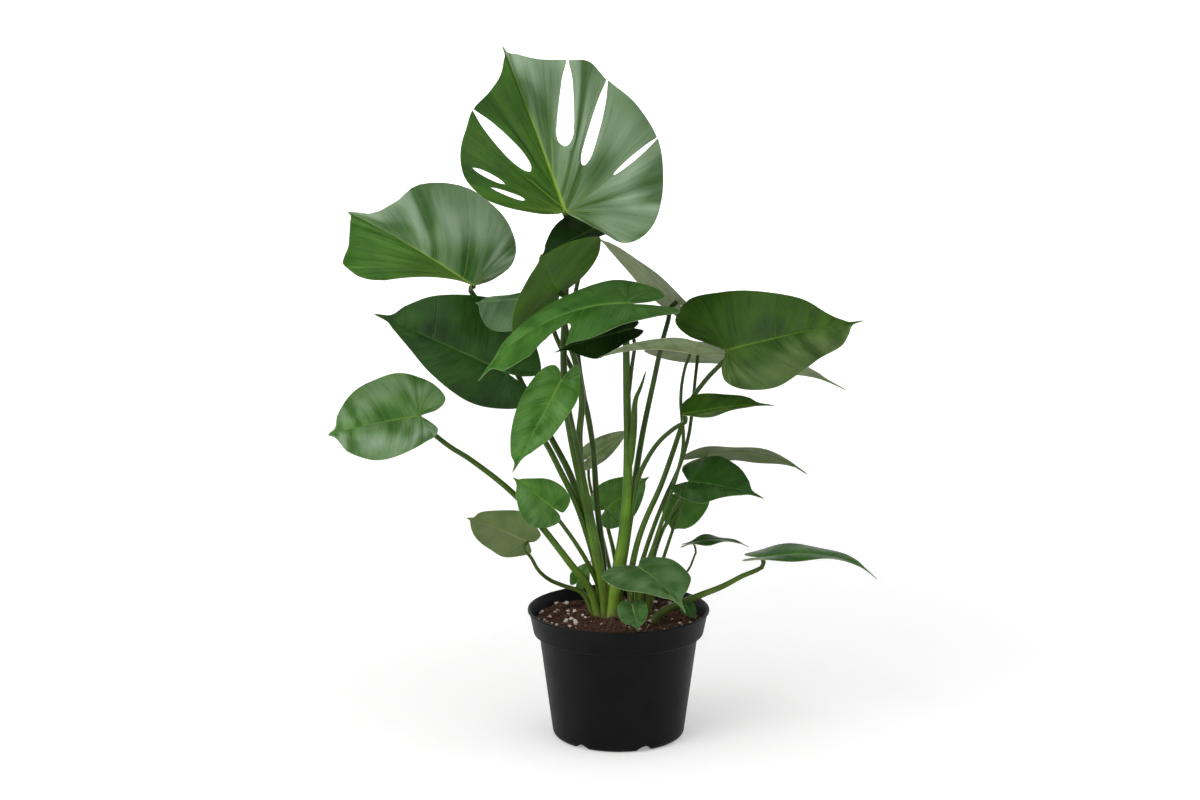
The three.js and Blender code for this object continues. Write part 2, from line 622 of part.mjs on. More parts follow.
// ---- stalks: each row runs from the foot in the soil up to its leaf ----
// group: the body that the stalk is part of. foot and top: radii. way: the points
// above the soil. The last stretch comes up square under the base of the leaf.
const stalks = [
  {
    leaf: "leaf_top", group: "stems_main", foot: 6, top: 3,
    way: [[-15, 16, 157], [-23, 12, 195], [-37, 8, 264], [-51, 6, 331], [-58, 10, 376], [-60, 24, 430],
      [-58, 38, 480], [-57, 46, 535], [-57, 46, 572], [-57, 26, 590]],
  },
  {
    leaf: "leaf_upper_left", group: "stems_main", foot: 5, top: 2.8,
    way: [[-23, 24, 175], [-34, 22, 226], [-51, 26, 283], [-75, 40, 328], [-97, 56, 366],
      [-125, 66, 420], [-151, 64, 470]],
  },
  {
    leaf: "leaf_mid_left", group: "stems_main", foot: 5, top: 2.8,
    way: [[-18, 12, 161], [-29, 10, 207], [-46, 8, 259], [-64, 12, 296], [-80, 22, 325],
      [-107, 42, 358], [-119, 50, 382]],
  },
  {
    leaf: "leaf_low_left", group: "stems_main", foot: 5, top: 2.6,
    way: [[-31, 4, 163], [-53, -2, 195], [-83, -10, 237], [-114, -18, 277], [-161, -24, 317],
      [-182, -26, 331], [-203, -26, 348]],
  },
  {
    leaf: "leaf_folded", group: "stems_main", foot: 6, top: 3,
    way: [[-16, 6, 160], [-23, 4, 197], [-36, 2, 265], [-43, 8, 331], [-40, 14, 374], [-46, 16, 412],
      [-56, 14, 446], [-60, 10, 474]],
  },
  {
    leaf: "leaf_cup", group: "stems_main", foot: 4.5, top: 2.6,
    way: [[-17, 28, 191], [-24, 28, 259], [-29, 30, 326], [-40, 34, 379], [-68, 34, 440]],
  },
  {
    leaf: "leaf_crown_dark", group: "stems_main", foot: 3, top: 2.2, branch: true,
    way: [[-29, 30, 326], [-44, 46, 414], [-48, 56, 480], [-34, 52, 530], [-22, 40, 552]],
  },
  {
    leaf: "leaf_under_top", group: "stems_main", foot: 5, top: 2.6,
    way: [[2, 18, 159], [8, 20, 215], [18, 24, 282], [26, 22, 334], [39, 14, 400], [46, 15, 434],
      [54, 38, 458]],
  },
  {
    leaf: "leaf_centre", group: "stems_main", foot: 8.5, top: 3.2,
    way: [[-7, 8, 144], [-3, 8, 173], [4, 8, 213], [9, 8, 264], [10, 8, 331], [9, 8, 376], [8, 10, 430],
      [8, 12, 462], [9, 2, 478]],
  },
  {
    leaf: "leaf_shade", group: "stems_main", foot: 2.6, top: 2, branch: true,
    way: [[9, 8, 366], [14, 10, 410], [17, 8, 440]],
  },
  {
    leaf: "leaf_front_centre", group: "stems_main", foot: 4.5, top: 2.4,
    way: [[-18, 0, 181], [-29, -4, 244], [-40, -12, 302], [-49, -24, 349], [-56, -38, 385]],
  },
  {
    leaf: "leaf_round_left", group: "stems_main", foot: 4, top: 2,
    way: [[-20, 10, 159], [-31, 4, 188], [-46, -2, 216], [-61, -6, 239]],
  },
  {
    leaf: "leaf_olive_left", group: "stems_main", foot: 3.5, top: 1.8,
    way: [[-40, 10, 158], [-57, 10, 165], [-75, 8, 173], [-88, 2, 186], [-96, -3, 202]],
  },
  {
    leaf: "leaf_tiny_left", group: "stems_main", foot: 2.5, top: 1.2,
    way: [[-31, 14, 150], [-40, 24, 157]],
  },
  {
    leaf: "leaf_right_flat", group: "stems_main", foot: 4.5, top: 2.4,
    way: [[-3, 11, 160], [6, 10, 195], [13, 10, 241], [20, 8, 284], [29, 4, 307], [43, -4, 331],
      [60, -14, 349]],
  },
  {
    leaf: "leaf_arched", group: "stems_right", foot: 4.5, top: 2.4,
    way: [[24, 6, 162], [41, 4, 220], [58, -1, 277], [70, 0, 325], [67, -4, 379], [69, -12, 405],
      [73, -20, 424]],
  },
  {
    leaf: "leaf_right_big", group: "stems_right", foot: 5.5, top: 3,
    way: [[13, 12, 162], [19, 12, 207], [29, 12, 239], [45, 12, 276], [56, 12, 307], [68, 12, 344],
      [77, 10, 372], [95, 2, 400]],
  },
  {
    leaf: "leaf_right_back", group: "stems_right", foot: 5, top: 2.6,
    way: [[19, 14, 160], [30, 16, 205], [50, 18, 261], [67, 22, 299], [76, 28, 328], [80, 38, 350],
      [85, 60, 392]],
  },
  {
    leaf: "leaf_right_grey", group: "stems_right", foot: 4.5, top: 2,
    way: [[38, 22, 158], [50, 30, 193], [63, 38, 231], [77, 46, 269], [89, 54, 286]],
  },
  {
    leaf: "leaf_right_dark", group: "stems_right", foot: 4.5, top: 2.2,
    way: [[33, 14, 160], [41, 10, 207], [54, 4, 243], [67, -2, 267]],
  },
  {
    leaf: "leaf_right_green", group: "stems_right", foot: 4, top: 2,
    way: [[29, 22, 165], [38, 30, 200], [54, 42, 229], [68, 50, 244]],
  },
  {
    leaf: "leaf_right_thin", group: "stems_right", foot: 3.5, top: 1.6,
    way: [[40, 20, 153], [55, 20, 166], [76, 20, 180], [83, 16, 197]],
  },
  {
    leaf: "leaf_low_right", group: "stem_low_right", foot: 6.5, top: 2.4,
    way: [[44, -6, 137], [62, -10, 149], [89, -14, 162], [113, -18, 173], [134, -20, 185]],
  },
  {
    leaf: "leaf_tiny_right", group: "stem_low_right", foot: 2, top: 1.1, branch: true,
    way: [[66, -11, 151], [69, -16, 154], [71, -21, 154]],
  },
  {
    leaf: "leaf_front_rim", group: "stems_front", foot: 4, top: 2.2,
    way: [[19, -24, 148], [19, -30, 164], [19, -38, 184]],
  },
  {
    leaf: "leaf_front_small", group: "stems_front", foot: 3, top: 1.4,
    way: [[17, -32, 151], [14, -42, 168], [12, -50, 174]],
  },
  {
    leaf: "leaf_back_small", group: "stems_back", foot: 3.5, top: 1.6,
    way: [[-7, 42, 160], [-14, 84, 186], [-24, 104, 225], [-33, 105, 266]],
  },
  {
    leaf: "leaf_round_back", group: "stems_back", foot: 4, top: 2,
    way: [[0, 44, 158], [-5, 66, 190], [-13, 88, 221]],
  },
];

// The rolled new leaf stands beside the middle stalk as a narrow spike.
const ROLLED_LEAF = {
  foot: 5, top: 0.6,
  way: [[12, 4, 300], [16, -2, 345], [18, -8, 379], [24, -12, 395], [29, -14, 412]],
};

// Under the soil the stalks of one group draw together to its crown.
const CROWNS = {
  stems_main: [-13, 11],
  stems_right: [27, 15],
  stem_low_right: [18, -4],
  stems_front: [18, -28],
  stems_back: [-3, 43],
};

function stalkPoints(stalk) {
  const leaf = leaves.find((item) => item.name === stalk.leaf);
  const { base, normal } = leafSurface(leaf);
  const under = base.clone().addScaledVector(normal, -10);
  const end = base.clone().addScaledVector(normal, -(BLADE / 2 + GAP));
  const [x, y] = stalk.way[0];
  const [crownX, crownY] = CROWNS[stalk.group];
  const deepX = THREE.MathUtils.lerp(x, crownX, CROWN_PULL);
  const deepY = THREE.MathUtils.lerp(y, crownY, CROWN_PULL);
  const foot = stalk.branch ? [] : [[deepX, deepY, CROWN_FOOT]];
  return [...foot, ...stalk.way, under.toArray(), end.toArray()];
}

// ---- build everything ----
const groups = new Map();
let soil = makeSoil();
const holes = [];
for (const stalk of stalks) {
  const rod = makeRod({ ...stalk, points: stalkPoints(stalk) });
  groups.set(stalk.group, groups.has(stalk.group) ? groups.get(stalk.group).add(rod) : rod);
  if (!stalk.branch) {
    const points = stalkPoints(stalk);
    points[0][2] -= 1;
    holes.push(makeRod({ ...stalk, points, foot: stalk.foot + HOLE_MARGIN, top: stalk.top + HOLE_MARGIN }));
  }
}
for (const hole of holes) soil = soil.subtract(hole);
const rolledLeaf = makeRod({ ...ROLLED_LEAF, points: ROLLED_LEAF.way });
groups.set("stems_main", groups.get("stems_main").add(rolledLeaf));

addMesh("pot", toGeometry(makePot()), POT_BLACK);
addMesh("soil", toGeometry(soil), SOIL_BROWN);
for (const [name, solid] of groups) addMesh(name, toGeometry(solid), STEM_GREEN);
for (const leaf of leaves) addMesh(leaf.name, thicken(leafSheet(leaf), BLADE), leaf.color);

export default plant;
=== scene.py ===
"""A young potted monstera: fine blades, stalks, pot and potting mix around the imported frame.

Sizes are in millimetres: x runs to the viewer's right, y away from the viewer and z up.
"""
import json
import math
from functools import partial

import bpy
import numpy as np
from mathutils import Matrix, Vector, noise

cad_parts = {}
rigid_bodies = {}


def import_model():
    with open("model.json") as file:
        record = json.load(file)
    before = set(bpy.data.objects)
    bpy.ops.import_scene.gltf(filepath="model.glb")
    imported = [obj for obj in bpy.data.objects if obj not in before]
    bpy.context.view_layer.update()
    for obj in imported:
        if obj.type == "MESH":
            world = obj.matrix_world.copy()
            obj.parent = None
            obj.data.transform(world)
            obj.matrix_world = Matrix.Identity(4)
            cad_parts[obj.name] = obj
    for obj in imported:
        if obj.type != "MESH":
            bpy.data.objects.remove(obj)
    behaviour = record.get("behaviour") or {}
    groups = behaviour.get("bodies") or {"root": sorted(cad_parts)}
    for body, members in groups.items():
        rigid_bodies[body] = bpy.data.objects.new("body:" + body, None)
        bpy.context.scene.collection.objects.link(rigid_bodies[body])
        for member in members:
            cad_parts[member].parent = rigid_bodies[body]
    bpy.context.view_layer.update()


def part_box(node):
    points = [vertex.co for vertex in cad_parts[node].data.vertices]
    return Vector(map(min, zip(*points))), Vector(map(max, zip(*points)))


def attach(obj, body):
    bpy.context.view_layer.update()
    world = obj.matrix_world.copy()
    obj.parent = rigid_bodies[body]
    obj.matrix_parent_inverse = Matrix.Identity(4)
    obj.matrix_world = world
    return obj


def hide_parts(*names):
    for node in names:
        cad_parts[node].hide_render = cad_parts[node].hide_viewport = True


bl_info = {
    "name": "Potted monstera",
    "version": (1, 0, 0),
    "blender": (4, 5, 0),
    "location": "3D View > Sidebar > Plant",
    "description": "Builds the blades, stalks, nursery pot and potting mix of a young monstera",
    "category": "Add Mesh",
}

for leftover in list(bpy.data.objects):
    bpy.data.objects.remove(leftover)
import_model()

MM = 0.001
POT_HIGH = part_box("pot")[1]
POT_HEIGHT = POT_HIGH.z / MM
RIM_RADIUS = POT_HIGH.y / MM

# ---- the pot and the mix ----
POT_FOOT_RADIUS = 73
FOOT_ROUNDING = 8
BAND_HEIGHT = 27
NOTCH_COUNT = 6
FIRST_NOTCH = -66  # degrees from the right, so that two notches face the viewer
NOTCH_WIDTH = 19
NOTCH_RISE = 0.7  # height of a notch as a share of half its width
SOIL_LEVEL = 130
GRAIN_REACH = 91  # loose grains lie this far out from the middle
SHOOTS_MIDDLE = (5, 2)  # the shoots stand round this place in the mix

# ---- the plant ----
BLADE = 0.7  # thickness of a leaf blade
ROOT_START = 0.0045  # share of the midrib that carries no side vein
WELD = 0.02  # corners nearer than this become one
RING_STEP = 6  # from one ring of a stalk to the next
CROWN_FOOT = 108  # the stalks start this high, buried in the mix
CROWN_PULL = 0.72  # share of the way from a stalk's foot in to its crown
TAPER = 0.62  # power of the share along: below 1, a stalk thins out most near its foot
SLIM_TAPER = 0.36  # the stalks at the right thin out sooner
CROWNS = {
    "stems_main": (-13, 11),
    "stems_right": (27, 15),
    "stem_low_right": (18, -4),
    "stems_front": (18, -28),
    "stems_back": (-3, 43),
}

# ---- the camera, as fitted to the lip, band and foot of the pot in the photo ----
CAMERA_PLACE = (-0.0204, -3.0602, 1.0076)  # metres
CAMERA_DIP = 11.64  # degrees that it looks down
LENS = 86.49
SENSOR = 36

# A plain heart-shaped half margin from the notch round the base lobe to the tip:
# share of the length along the midrib, share of the half width.
HEART = [
    (-0.05, 0.03), (-0.16, 0.16), (-0.24, 0.42), (-0.2, 0.7), (-0.02, 0.93), (0.2, 1.0),
    (0.45, 0.88), (0.68, 0.6), (0.86, 0.27),
]

# Each leaf with its stalk, by the node it replaces. upper and under: finishes of its sides.
# base and tip: ends of the midrib. face: the way the upper side looks. left and right: half
# margins as (share along the midrib, mm across), or width: half widths of a plain heart,
# with lobe for how far its base lobes reach back.
# cuts: slits along the vein of a column, with their width at each of row_shares.
# bend, fold and curl: degrees that the midrib, the halves at it and their margins turn.
# power: how much the bend gathers toward the tip. wave: mm that the margins rise and fall.
# root_power and line_powers: how the side veins crowd at the stalk and curve to the tip.
# sheen_share: how much of the left and the right half gets the painted sheen, a pale colour
# that stands in for the shine of the light. veins: side veins in a half. pleat: mm that the
# blade bulges between them. tail: mm of drip tip.
# group, foot, top and way: the stalk's shoot, its radius at both ends and its route.
# branch: it starts on another stalk. tone: 0 for a thin dark stalk, 1 for a stout pale one.
LEAVES = {
    "leaf_top": dict(
        slot="leaf_green", upper="grown", under="grey",
        base=(-57, -10, 584), tip=(-124, 72, 749), face=(0.05, -0.85, 0.5),
        left=[(0, 8), (0.02, 22), (0.07, 42), (0.14, 64), (0.22, 80), (0.35, 90), (0.45, 88),
            (0.54, 81), (0.62, 70), (0.71, 56), (0.78, 32), (0.86, 14), (0.94, 5)],
        right=[(-0.017, 2.2), (-0.16, 28), (-0.26, 46), (-0.26, 70), (-0.18, 92), (0, 112),
            (0.25, 124), (0.46, 115), (0.64, 93), (0.77, 82), (0.82, 60), (0.88, 30), (0.95, 11)],
        cuts=[
            dict(side=1, column=10, widths=(0, 0, 0, 0, 11, 19, 18, 15, 11, 1)),
            dict(side=1, column=8, widths=(0, 0, 0, 0, 9, 12, 12, 11, 8, 1)),
            dict(side=1, column=6, widths=(0, 0, 0, 0, 0, 0, 4, 6, 5, 1)),
            dict(side=0, column=9, widths=(0, 0, 0, 0, 10, 16, 17, 15, 10, 1)),
            dict(side=0, column=6, widths=(0, 0, 0, 0, 0, 0, 0, 6, 0, 0)),
            dict(side=0, column=5, widths=(0, 0, 0, 0, 0, 5, 5, 0, 0, 0)),
        ],
        row_shares=(0, 0.14, 0.28, 0.37, 0.42, 0.5, 0.6, 0.74, 0.88, 1), bend=16, fold=(5, 5),
        curl=(-14, -16), wave=4, root_power=7, line_powers=(1.15, 1.15), sheen_share=(0.02, 0.74),
        veins=9, pleat=1.9, tail=8,
        group="stems_main", foot=6, top=3,
        way=[(-15, 16, 157), (-23, 12, 195), (-37, 8, 264), (-51, 6, 331), (-58, 10, 376),
            (-60, 24, 430), (-58, 38, 480), (-57, 46, 535), (-57, 46, 572), (-57, 26, 590)],
    ),
    "leaf_upper_left": dict(
        slot="leaf_pale", upper="waxy", under="olive",
        base=(-158, 50, 494), tip=(-291, 40, 576), face=(0.1, -0.75, 0.65),
        left=[(0.569, 51.5), (0.676, 60), (0.756, 63), (0.815, 62.3), (0.878, 60), (0.894, 52.3),
            (0.902, 39.4), (0.925, 29.1), (0.948, 20), (0.974, 9.6)],
        right=[(-0.03, 5), (-0.085, 16), (-0.126, 28), (-0.169, 46.7), (-0.154, 66.7),
            (-0.08, 83.2), (0.073, 99), (0.333, 106), (0.672, 71.8), (0.78, 31.8)],
        bend=16, fold=(3, 5), curl=(-14, -14), root_power=4.5, line_powers=(0.7, 1.35),
        sheen_share=(0.06, 0.95), veins=8, pleat=2.6, tail=4,
        group="stems_main", foot=5, top=2.8,
        way=[(-23, 24, 175), (-34, 22, 226), (-51, 26, 283), (-75, 40, 328), (-97, 56, 366),
            (-125, 66, 420), (-151, 64, 470)],
    ),
    "leaf_mid_left": dict(
        slot="leaf_dark", upper="old", under="grey",
        base=(-121, 38, 399), tip=(-256, -7, 470), face=(-0.1, -0.9, 0.4),
        left=[(-0.043, 1.1), (-0.15, 5), (-0.26, 10.4), (-0.21, 24.7), (-0.09, 36.3), (0.2, 47.6),
            (0.52, 36.5), (0.78, 17), (0.9, 7)],
        right=[(-0.043, 1.1), (-0.13, 5), (-0.22, 15), (-0.12, 40), (0.06, 64), (0.24, 70),
            (0.42, 64), (0.72, 43), (0.88, 20)],
        bend=14, curl=(-14, -14), sheen_share=(0.02, 0.05), veins=7, pleat=1.2, tail=9,
        group="stems_main", foot=5, top=2.8,
        way=[(-18, 12, 161), (-29, 10, 207), (-46, 8, 259), (-64, 12, 296), (-80, 22, 325),
            (-107, 42, 358), (-119, 50, 382)],
    ),
    "leaf_low_left": dict(
        slot="leaf_green", upper="green", under="grey",
        base=(-214, -30, 366), tip=(-305, -75, 356), face=(-0.1, -0.75, 0.6),
        left=[(-0.017, 1.7), (-0.08, 10), (-0.13, 20), (-0.08, 28), (0.05, 34), (0.25, 42),
            (0.5, 45), (0.75, 41), (0.93, 26)],
        right=[(-0.07, 1.2), (-0.24, 5), (-0.36, 16), (-0.3, 36), (-0.14, 48), (0.1, 57),
            (0.38, 53), (0.66, 39), (0.88, 18)],
        bend=14, curl=(-14, -14), sheen_share=(0.75, 0.45), veins=8, pleat=1.0, tail=4,
        group="stems_main", foot=5, top=2.6,
        way=[(-31, 4, 163), (-53, -2, 195), (-83, -10, 237), (-114, -18, 277), (-161, -24, 317),
            (-182, -26, 331), (-203, -26, 348)],
    ),
    "leaf_folded": dict(
        slot="leaf_pale", upper="olive", under="lit",
        base=(-64, 10, 493), tip=(-82, -60, 544), face=(-0.71, 0.53, 0.46),
        left=[(-0.03, 3), (-0.08, 14), (-0.1, 30), (-0.04, 48), (0.1, 64), (0.3, 70), (0.52, 60),
            (0.72, 38), (0.88, 16)],
        right=[(-0.05, 2.3), (-0.16, 12.5), (-0.24, 32.8), (-0.2, 54.6), (-0.02, 72.5), (0.2, 78),
            (0.45, 68.6), (0.68, 46.8), (0.86, 21)],
        bend=10, fold=(0, 0), curl=(-12, -12), sheen_share=(0.03, 0.03), veins=12, pleat=0.4, tail=6,
        group="stems_main", foot=6, top=3,
        way=[(-16, 6, 160), (-23, 4, 197), (-36, 2, 265), (-43, 8, 331), (-40, 14, 374),
            (-46, 16, 412), (-56, 14, 446), (-60, 10, 474)],
    ),
    "leaf_crown_dark": dict(
        slot="leaf_dark", upper="shaded", under="dark",
        base=(-20, 25, 564), tip=(-84, 0, 534), face=(-0.1, -0.75, 0.65),
        width=(14, 32), bend=14, curl=(-10, -14), sheen_share=(0, 0), veins=5, pleat=0.8, tail=3,
        group="stems_main", foot=3, top=2.2, branch=True,
        way=[(-29, 30, 326), (-44, 46, 414), (-48, 56, 480), (-34, 52, 530), (-22, 40, 552)],
    ),
    "leaf_cup": dict(
        slot="leaf_pale", upper="green", under="cup",
        base=(-80, 17, 486), tip=(-152, 3, 484), face=(-0.2, 0.85, 0.45),
        left=[(-0.02, 2), (0.04, 4), (0.12, 6), (0.25, 7), (0.4, 8), (0.58, 8), (0.76, 6),
            (0.92, 3)],
        right=[(-0.03, 5), (-0.05, 14), (0.04, 26), (0.22, 35), (0.45, 42), (0.7, 44), (0.86, 34),
            (0.96, 16)],
        bend=10, curl=(-12, -16), sheen_share=(0.2, 0.2), veins=8, pleat=1.0, tail=3,
        group="stems_main", foot=4.5, top=2.6,
        way=[(-17, 28, 191), (-24, 28, 259), (-29, 30, 326), (-40, 34, 379), (-68, 34, 440)],
    ),
    "leaf_under_top": dict(
        slot="leaf_pale", upper="green", under="grey",
        base=(64, 60, 475), tip=(-23, 100, 540), face=(0.7, 0.36, 0.62),
        width=(40, 40), bend=6, fold=(0, 0), curl=(-10, -10), wave=1, veins=10, pleat=0.5, tail=3,
        group="stems_main", foot=5, top=2.6,
        way=[(2, 18, 159), (8, 20, 215), (18, 24, 282), (26, 22, 334), (39, 14, 400),
            (46, 15, 434), (54, 38, 458)],
    ),
    "leaf_centre": dict(
        slot="leaf_green", upper="fresh", under="grey",
        base=(10, -20, 487), tip=(-139, -80, 428), face=(-0.1, -0.45, 0.88),
        left=[(-0.05, 0.9), (-0.18, 6), (-0.31, 13), (-0.29, 22), (-0.125, 29), (0.148, 45.6),
            (0.367, 53.4), (0.6, 36), (0.765, 33.5), (0.933, 24.8)],
        right=[(-0.055, 0.9), (-0.18, 4), (-0.29, 12), (-0.307, 28), (-0.231, 42), (-0.08, 46.5),
            (0.119, 40), (0.429, 24), (0.644, 15), (0.852, 8)],
        cuts=[
            dict(side=0, column=7, widths=(0, 0, 0, 11, 20, 24)),
        ],
        row_shares=(0, 0.3, 0.56, 0.7, 0.85, 1), bend=62, power=1.2, curl=(-16, -16),
        sheen_share=(0.05, 0.1), veins=8, pleat=1.1, tail=17,
        group="stems_main", foot=8.5, top=3.2,
        way=[(-7, 8, 144), (-3, 8, 173), (4, 8, 213), (9, 8, 264), (10, 8, 331), (9, 8, 376),
            (8, 10, 430), (8, 12, 462), (9, 2, 478)],
    ),
    "leaf_right_big": dict(
        slot="leaf_dark", upper="deep", under="grey",
        base=(116, -20, 436), tip=(249, -60, 474), face=(0.1, -0.85, 0.5),
        left=[(-0.026, 1.7), (-0.163, 14), (-0.304, 28), (-0.382, 47.3), (-0.249, 68.4),
            (0.023, 65.2), (0.344, 53.7), (0.635, 36), (0.83, 12), (0.92, 4)],
        right=[(-0.01, 2.2), (-0.03, 9), (-0.055, 20.1), (-0.029, 36.2), (0.106, 49.1),
            (0.35, 53.5), (0.581, 43.1), (0.714, 34.1), (0.88, 25), (0.95, 12)],
        bend=14, curl=(-12, -14), sheen_share=(0, 0.25), veins=9, pleat=1.6, tail=10,
        group="stems_right", foot=4.8, top=2.6,
        way=[(13, 12, 162), (19, 12, 207), (29, 12, 239), (45, 12, 276), (56, 12, 307),
            (68, 12, 344), (77, 10, 372), (95, 2, 400)],
    ),
    "leaf_shade": dict(
        slot="leaf_dark", upper="shaded", under="dark",
        base=(16, -5, 457), tip=(-61, -48, 442), face=(0, -0.75, 0.65),
        left=[(-0.025, 1.1), (-0.1, 6), (0, 12), (0.2, 16), (0.45, 22), (0.7, 23), (0.88, 12)],
        right=[(-0.032, 1.1), (-0.1, 5), (-0.06, 10), (0.15, 14), (0.4, 14), (0.66, 10),
            (0.86, 5)],
        bend=12, curl=(-10, -10), sheen_share=(0, 0), veins=6, pleat=0.8, tail=9,
        group="stems_main", foot=2.6, top=2, branch=True,
        way=[(9, 8, 366), (14, 10, 410), (17, 8, 440)],
    ),
    "leaf_arched": dict(
        slot="leaf_pale", upper="dusty", under="grey",
        base=(76, -28, 434), tip=(-19, -56, 436), face=(0, -0.05, 1),
        width=(25, 24), bend=30, power=1, fold=(46, 6), curl=(-10, -16), wave=1, sheen_share=(0.6, 0.5),
        veins=9, pleat=0.7, tail=4,
        group="stems_right", foot=4.2, top=1.7,
        way=[(24, 6, 162), (41, 4, 220), (58, -1, 277), (70, 0, 325), (67, -4, 379),
            (69, -12, 405), (73, -20, 424)],
    ),
    "leaf_right_back": dict(
        slot="leaf_pale", upper="green", under="grey",
        base=(88, 72, 416), tip=(240, 50, 384), face=(0.1, 0.4, 0.9),
        width=(48, 48), lobe=1.6, bend=20, veins=8, pleat=0.8, tail=12,
        group="stems_right", foot=4.2, top=1.8,
        way=[(19, 14, 160), (30, 16, 205), (50, 18, 261), (67, 22, 299), (76, 28, 328),
            (80, 38, 350), (85, 60, 392)],
    ),
    "leaf_front_centre": dict(
        slot="leaf_green", upper="green", under="grey",
        base=(-61, -60, 412), tip=(-110, -100, 325), face=(0.1, -0.9, 0.4),
        left=[(-0.046, 0.8), (-0.12, 2.4), (-0.2, 6), (-0.18, 12), (-0.07, 18), (0.12, 25),
            (0.36, 23), (0.6, 18), (0.8, 8)],
        right=[(-0.022, 1.7), (-0.08, 8), (-0.09, 14), (-0.02, 22), (0.12, 27), (0.34, 29),
            (0.56, 26), (0.76, 19), (0.92, 9)],
        bend=16, curl=(-14, -14), sheen_share=(0.15, 0.1), veins=7, pleat=0.8, tail=7,
        group="stems_main", foot=4.5, top=2.4,
        way=[(-18, 0, 181), (-29, -4, 244), (-40, -12, 302), (-49, -24, 349), (-56, -38, 385)],
    ),
    "leaf_back_small": dict(
        slot="leaf_dark", upper="dusty", under="grey",
        base=(-34, 90, 292), tip=(12, 98, 323), face=(0, -0.95, 0.3),
        width=(14, 13), bend=14, sheen_share=(0.3, 0.3), veins=5, pleat=0.5, tail=3,
        group="stems_back", foot=3.5, top=1.6,
        way=[(-7, 42, 160), (-14, 84, 186), (-24, 104, 225), (-33, 105, 266)],
    ),
    "leaf_round_left": dict(
        slot="leaf_green", upper="green", under="grey",
        base=(-71, -20, 262), tip=(-111, -45, 300), face=(0, -0.9, 0.4),
        left=[(-0.07, 0.7), (-0.24, 3.2), (-0.278, 8), (-0.158, 19.4), (0.021, 26.6),
            (0.273, 31.8), (0.512, 28.1), (0.856, 13.6)],
        right=[(-0.09, 0.9), (-0.25, 3.2), (-0.235, 16.7), (-0.048, 22.3), (0.187, 24.5),
            (0.51, 19.5), (0.778, 9.5), (0.903, 4.2)],
        bend=16, curl=(-14, -14), sheen_share=(0.15, 0.05), veins=5, pleat=0.8, tail=4,
        group="stems_main", foot=4, top=2,
        way=[(-20, 10, 159), (-31, 4, 188), (-46, -2, 216), (-61, -6, 239)],
    ),
    "leaf_olive_left": dict(
        slot="leaf_pale", upper="green", under="dull",
        base=(-99, -5, 220), tip=(-163, 15, 241), face=(-0.2, 0.75, 0.6),
        left=[(-0.04, 1), (-0.13, 7), (-0.2, 22), (0.01, 39), (0.45, 34), (0.7, 22.4), (0.89, 11)],
        right=[(-0.02, 3), (-0.05, 20), (0.2, 38), (0.5, 48), (0.74, 47), (0.91, 33), (0.99, 16)],
        bend=14, curl=(-12, -12), veins=6, pleat=0.5, tail=4,
        group="stems_main", foot=3.5, top=1.8, tone=0.1,
        way=[(-40, 10, 158), (-57, 10, 165), (-75, 8, 173), (-88, 2, 186), (-96, -3, 202)],
    ),
    "leaf_round_back": dict(
        slot="leaf_green", upper="green", under="grey",
        base=(-14, 80, 236), tip=(33, 88, 270), face=(0, -0.9, 0.4),
        width=(26, 27), bend=14, sheen_share=(0.1, 0.15), veins=5, pleat=0.6, tail=3,
        group="stems_back", foot=4, top=2,
        way=[(0, 44, 158), (-5, 66, 190), (-13, 88, 221)],
    ),
    "leaf_right_flat": dict(
        slot="leaf_green", upper="deep", under="grey",
        base=(69, -30, 368), tip=(158, -45, 381), face=(0, -0.5, 0.85),
        left=[(-0.018, 1.7), (-0.04, 11), (0.035, 21.4), (0.342, 23.7), (0.596, 20.5), (0.8, 11)],
        right=[(-0.016, 1.2), (0.06, 4.5), (0.178, 7.6), (0.352, 8.2), (0.525, 6.7), (0.76, 4)],
        bend=16, fold=(5, 0), curl=(-10, -20), sheen_share=(0.03, 0.1), veins=6, pleat=1.1, tail=9,
        group="stems_main", foot=4.5, top=2.4,
        way=[(-3, 11, 160), (6, 10, 195), (13, 10, 241), (20, 8, 284), (29, 4, 307), (43, -4, 331),
            (60, -14, 349)],
    ),
    "leaf_right_grey": dict(
        slot="leaf_pale", upper="green", under="dull",
        base=(96, 60, 301), tip=(204, 35, 290), face=(0.1, 0.5, 0.87),
        width=(30, 34), bend=50, power=1, fold=(0, 0), curl=(-10, -10), veins=7, pleat=1.0, tail=6,
        group="stems_right", foot=3.8, top=1.4,
        way=[(38, 22, 158), (50, 30, 193), (63, 38, 231), (77, 46, 269), (89, 54, 286)],
    ),
    "leaf_right_dark": dict(
        slot="leaf_dark", upper="old", under="grey",
        base=(76, -10, 289), tip=(149, -50, 282), face=(0.1, -0.6, 0.8),
        left=[(-0.029, 1.7), (-0.12, 9), (-0.2, 18), (-0.05, 34), (0.2, 40), (0.53, 34),
            (0.8, 15)],
        right=[(-0.033, 1.7), (-0.12, 7), (-0.2, 12.5), (-0.02, 24), (0.3, 26), (0.55, 18),
            (0.8, 7)],
        bend=20, curl=(-12, -30), sheen_share=(0.02, 0.2), veins=6, pleat=0.9, tail=8,
        group="stems_right", foot=4, top=1.7,
        way=[(33, 14, 160), (41, 10, 207), (54, 4, 243), (67, -2, 267)],
    ),
    "leaf_right_green": dict(
        slot="leaf_pale", upper="green", under="green",
        base=(73, 62, 254), tip=(60, 54, 219), face=(0.2, 0.9, 0.3),
        left=[(-0.016, 1.1), (-0.06, 6), (0.02, 12), (0.17, 17), (0.4, 19), (0.62, 17),
            (0.84, 12)],
        right=[(-0.04, 2), (-0.24, 14), (-0.22, 26), (0, 29), (0.19, 28), (0.62, 22), (0.86, 13)],
        bend=16, curl=(-10, -10), veins=5, pleat=0.4, tail=3,
        group="stems_right", foot=3.6, top=1.5,
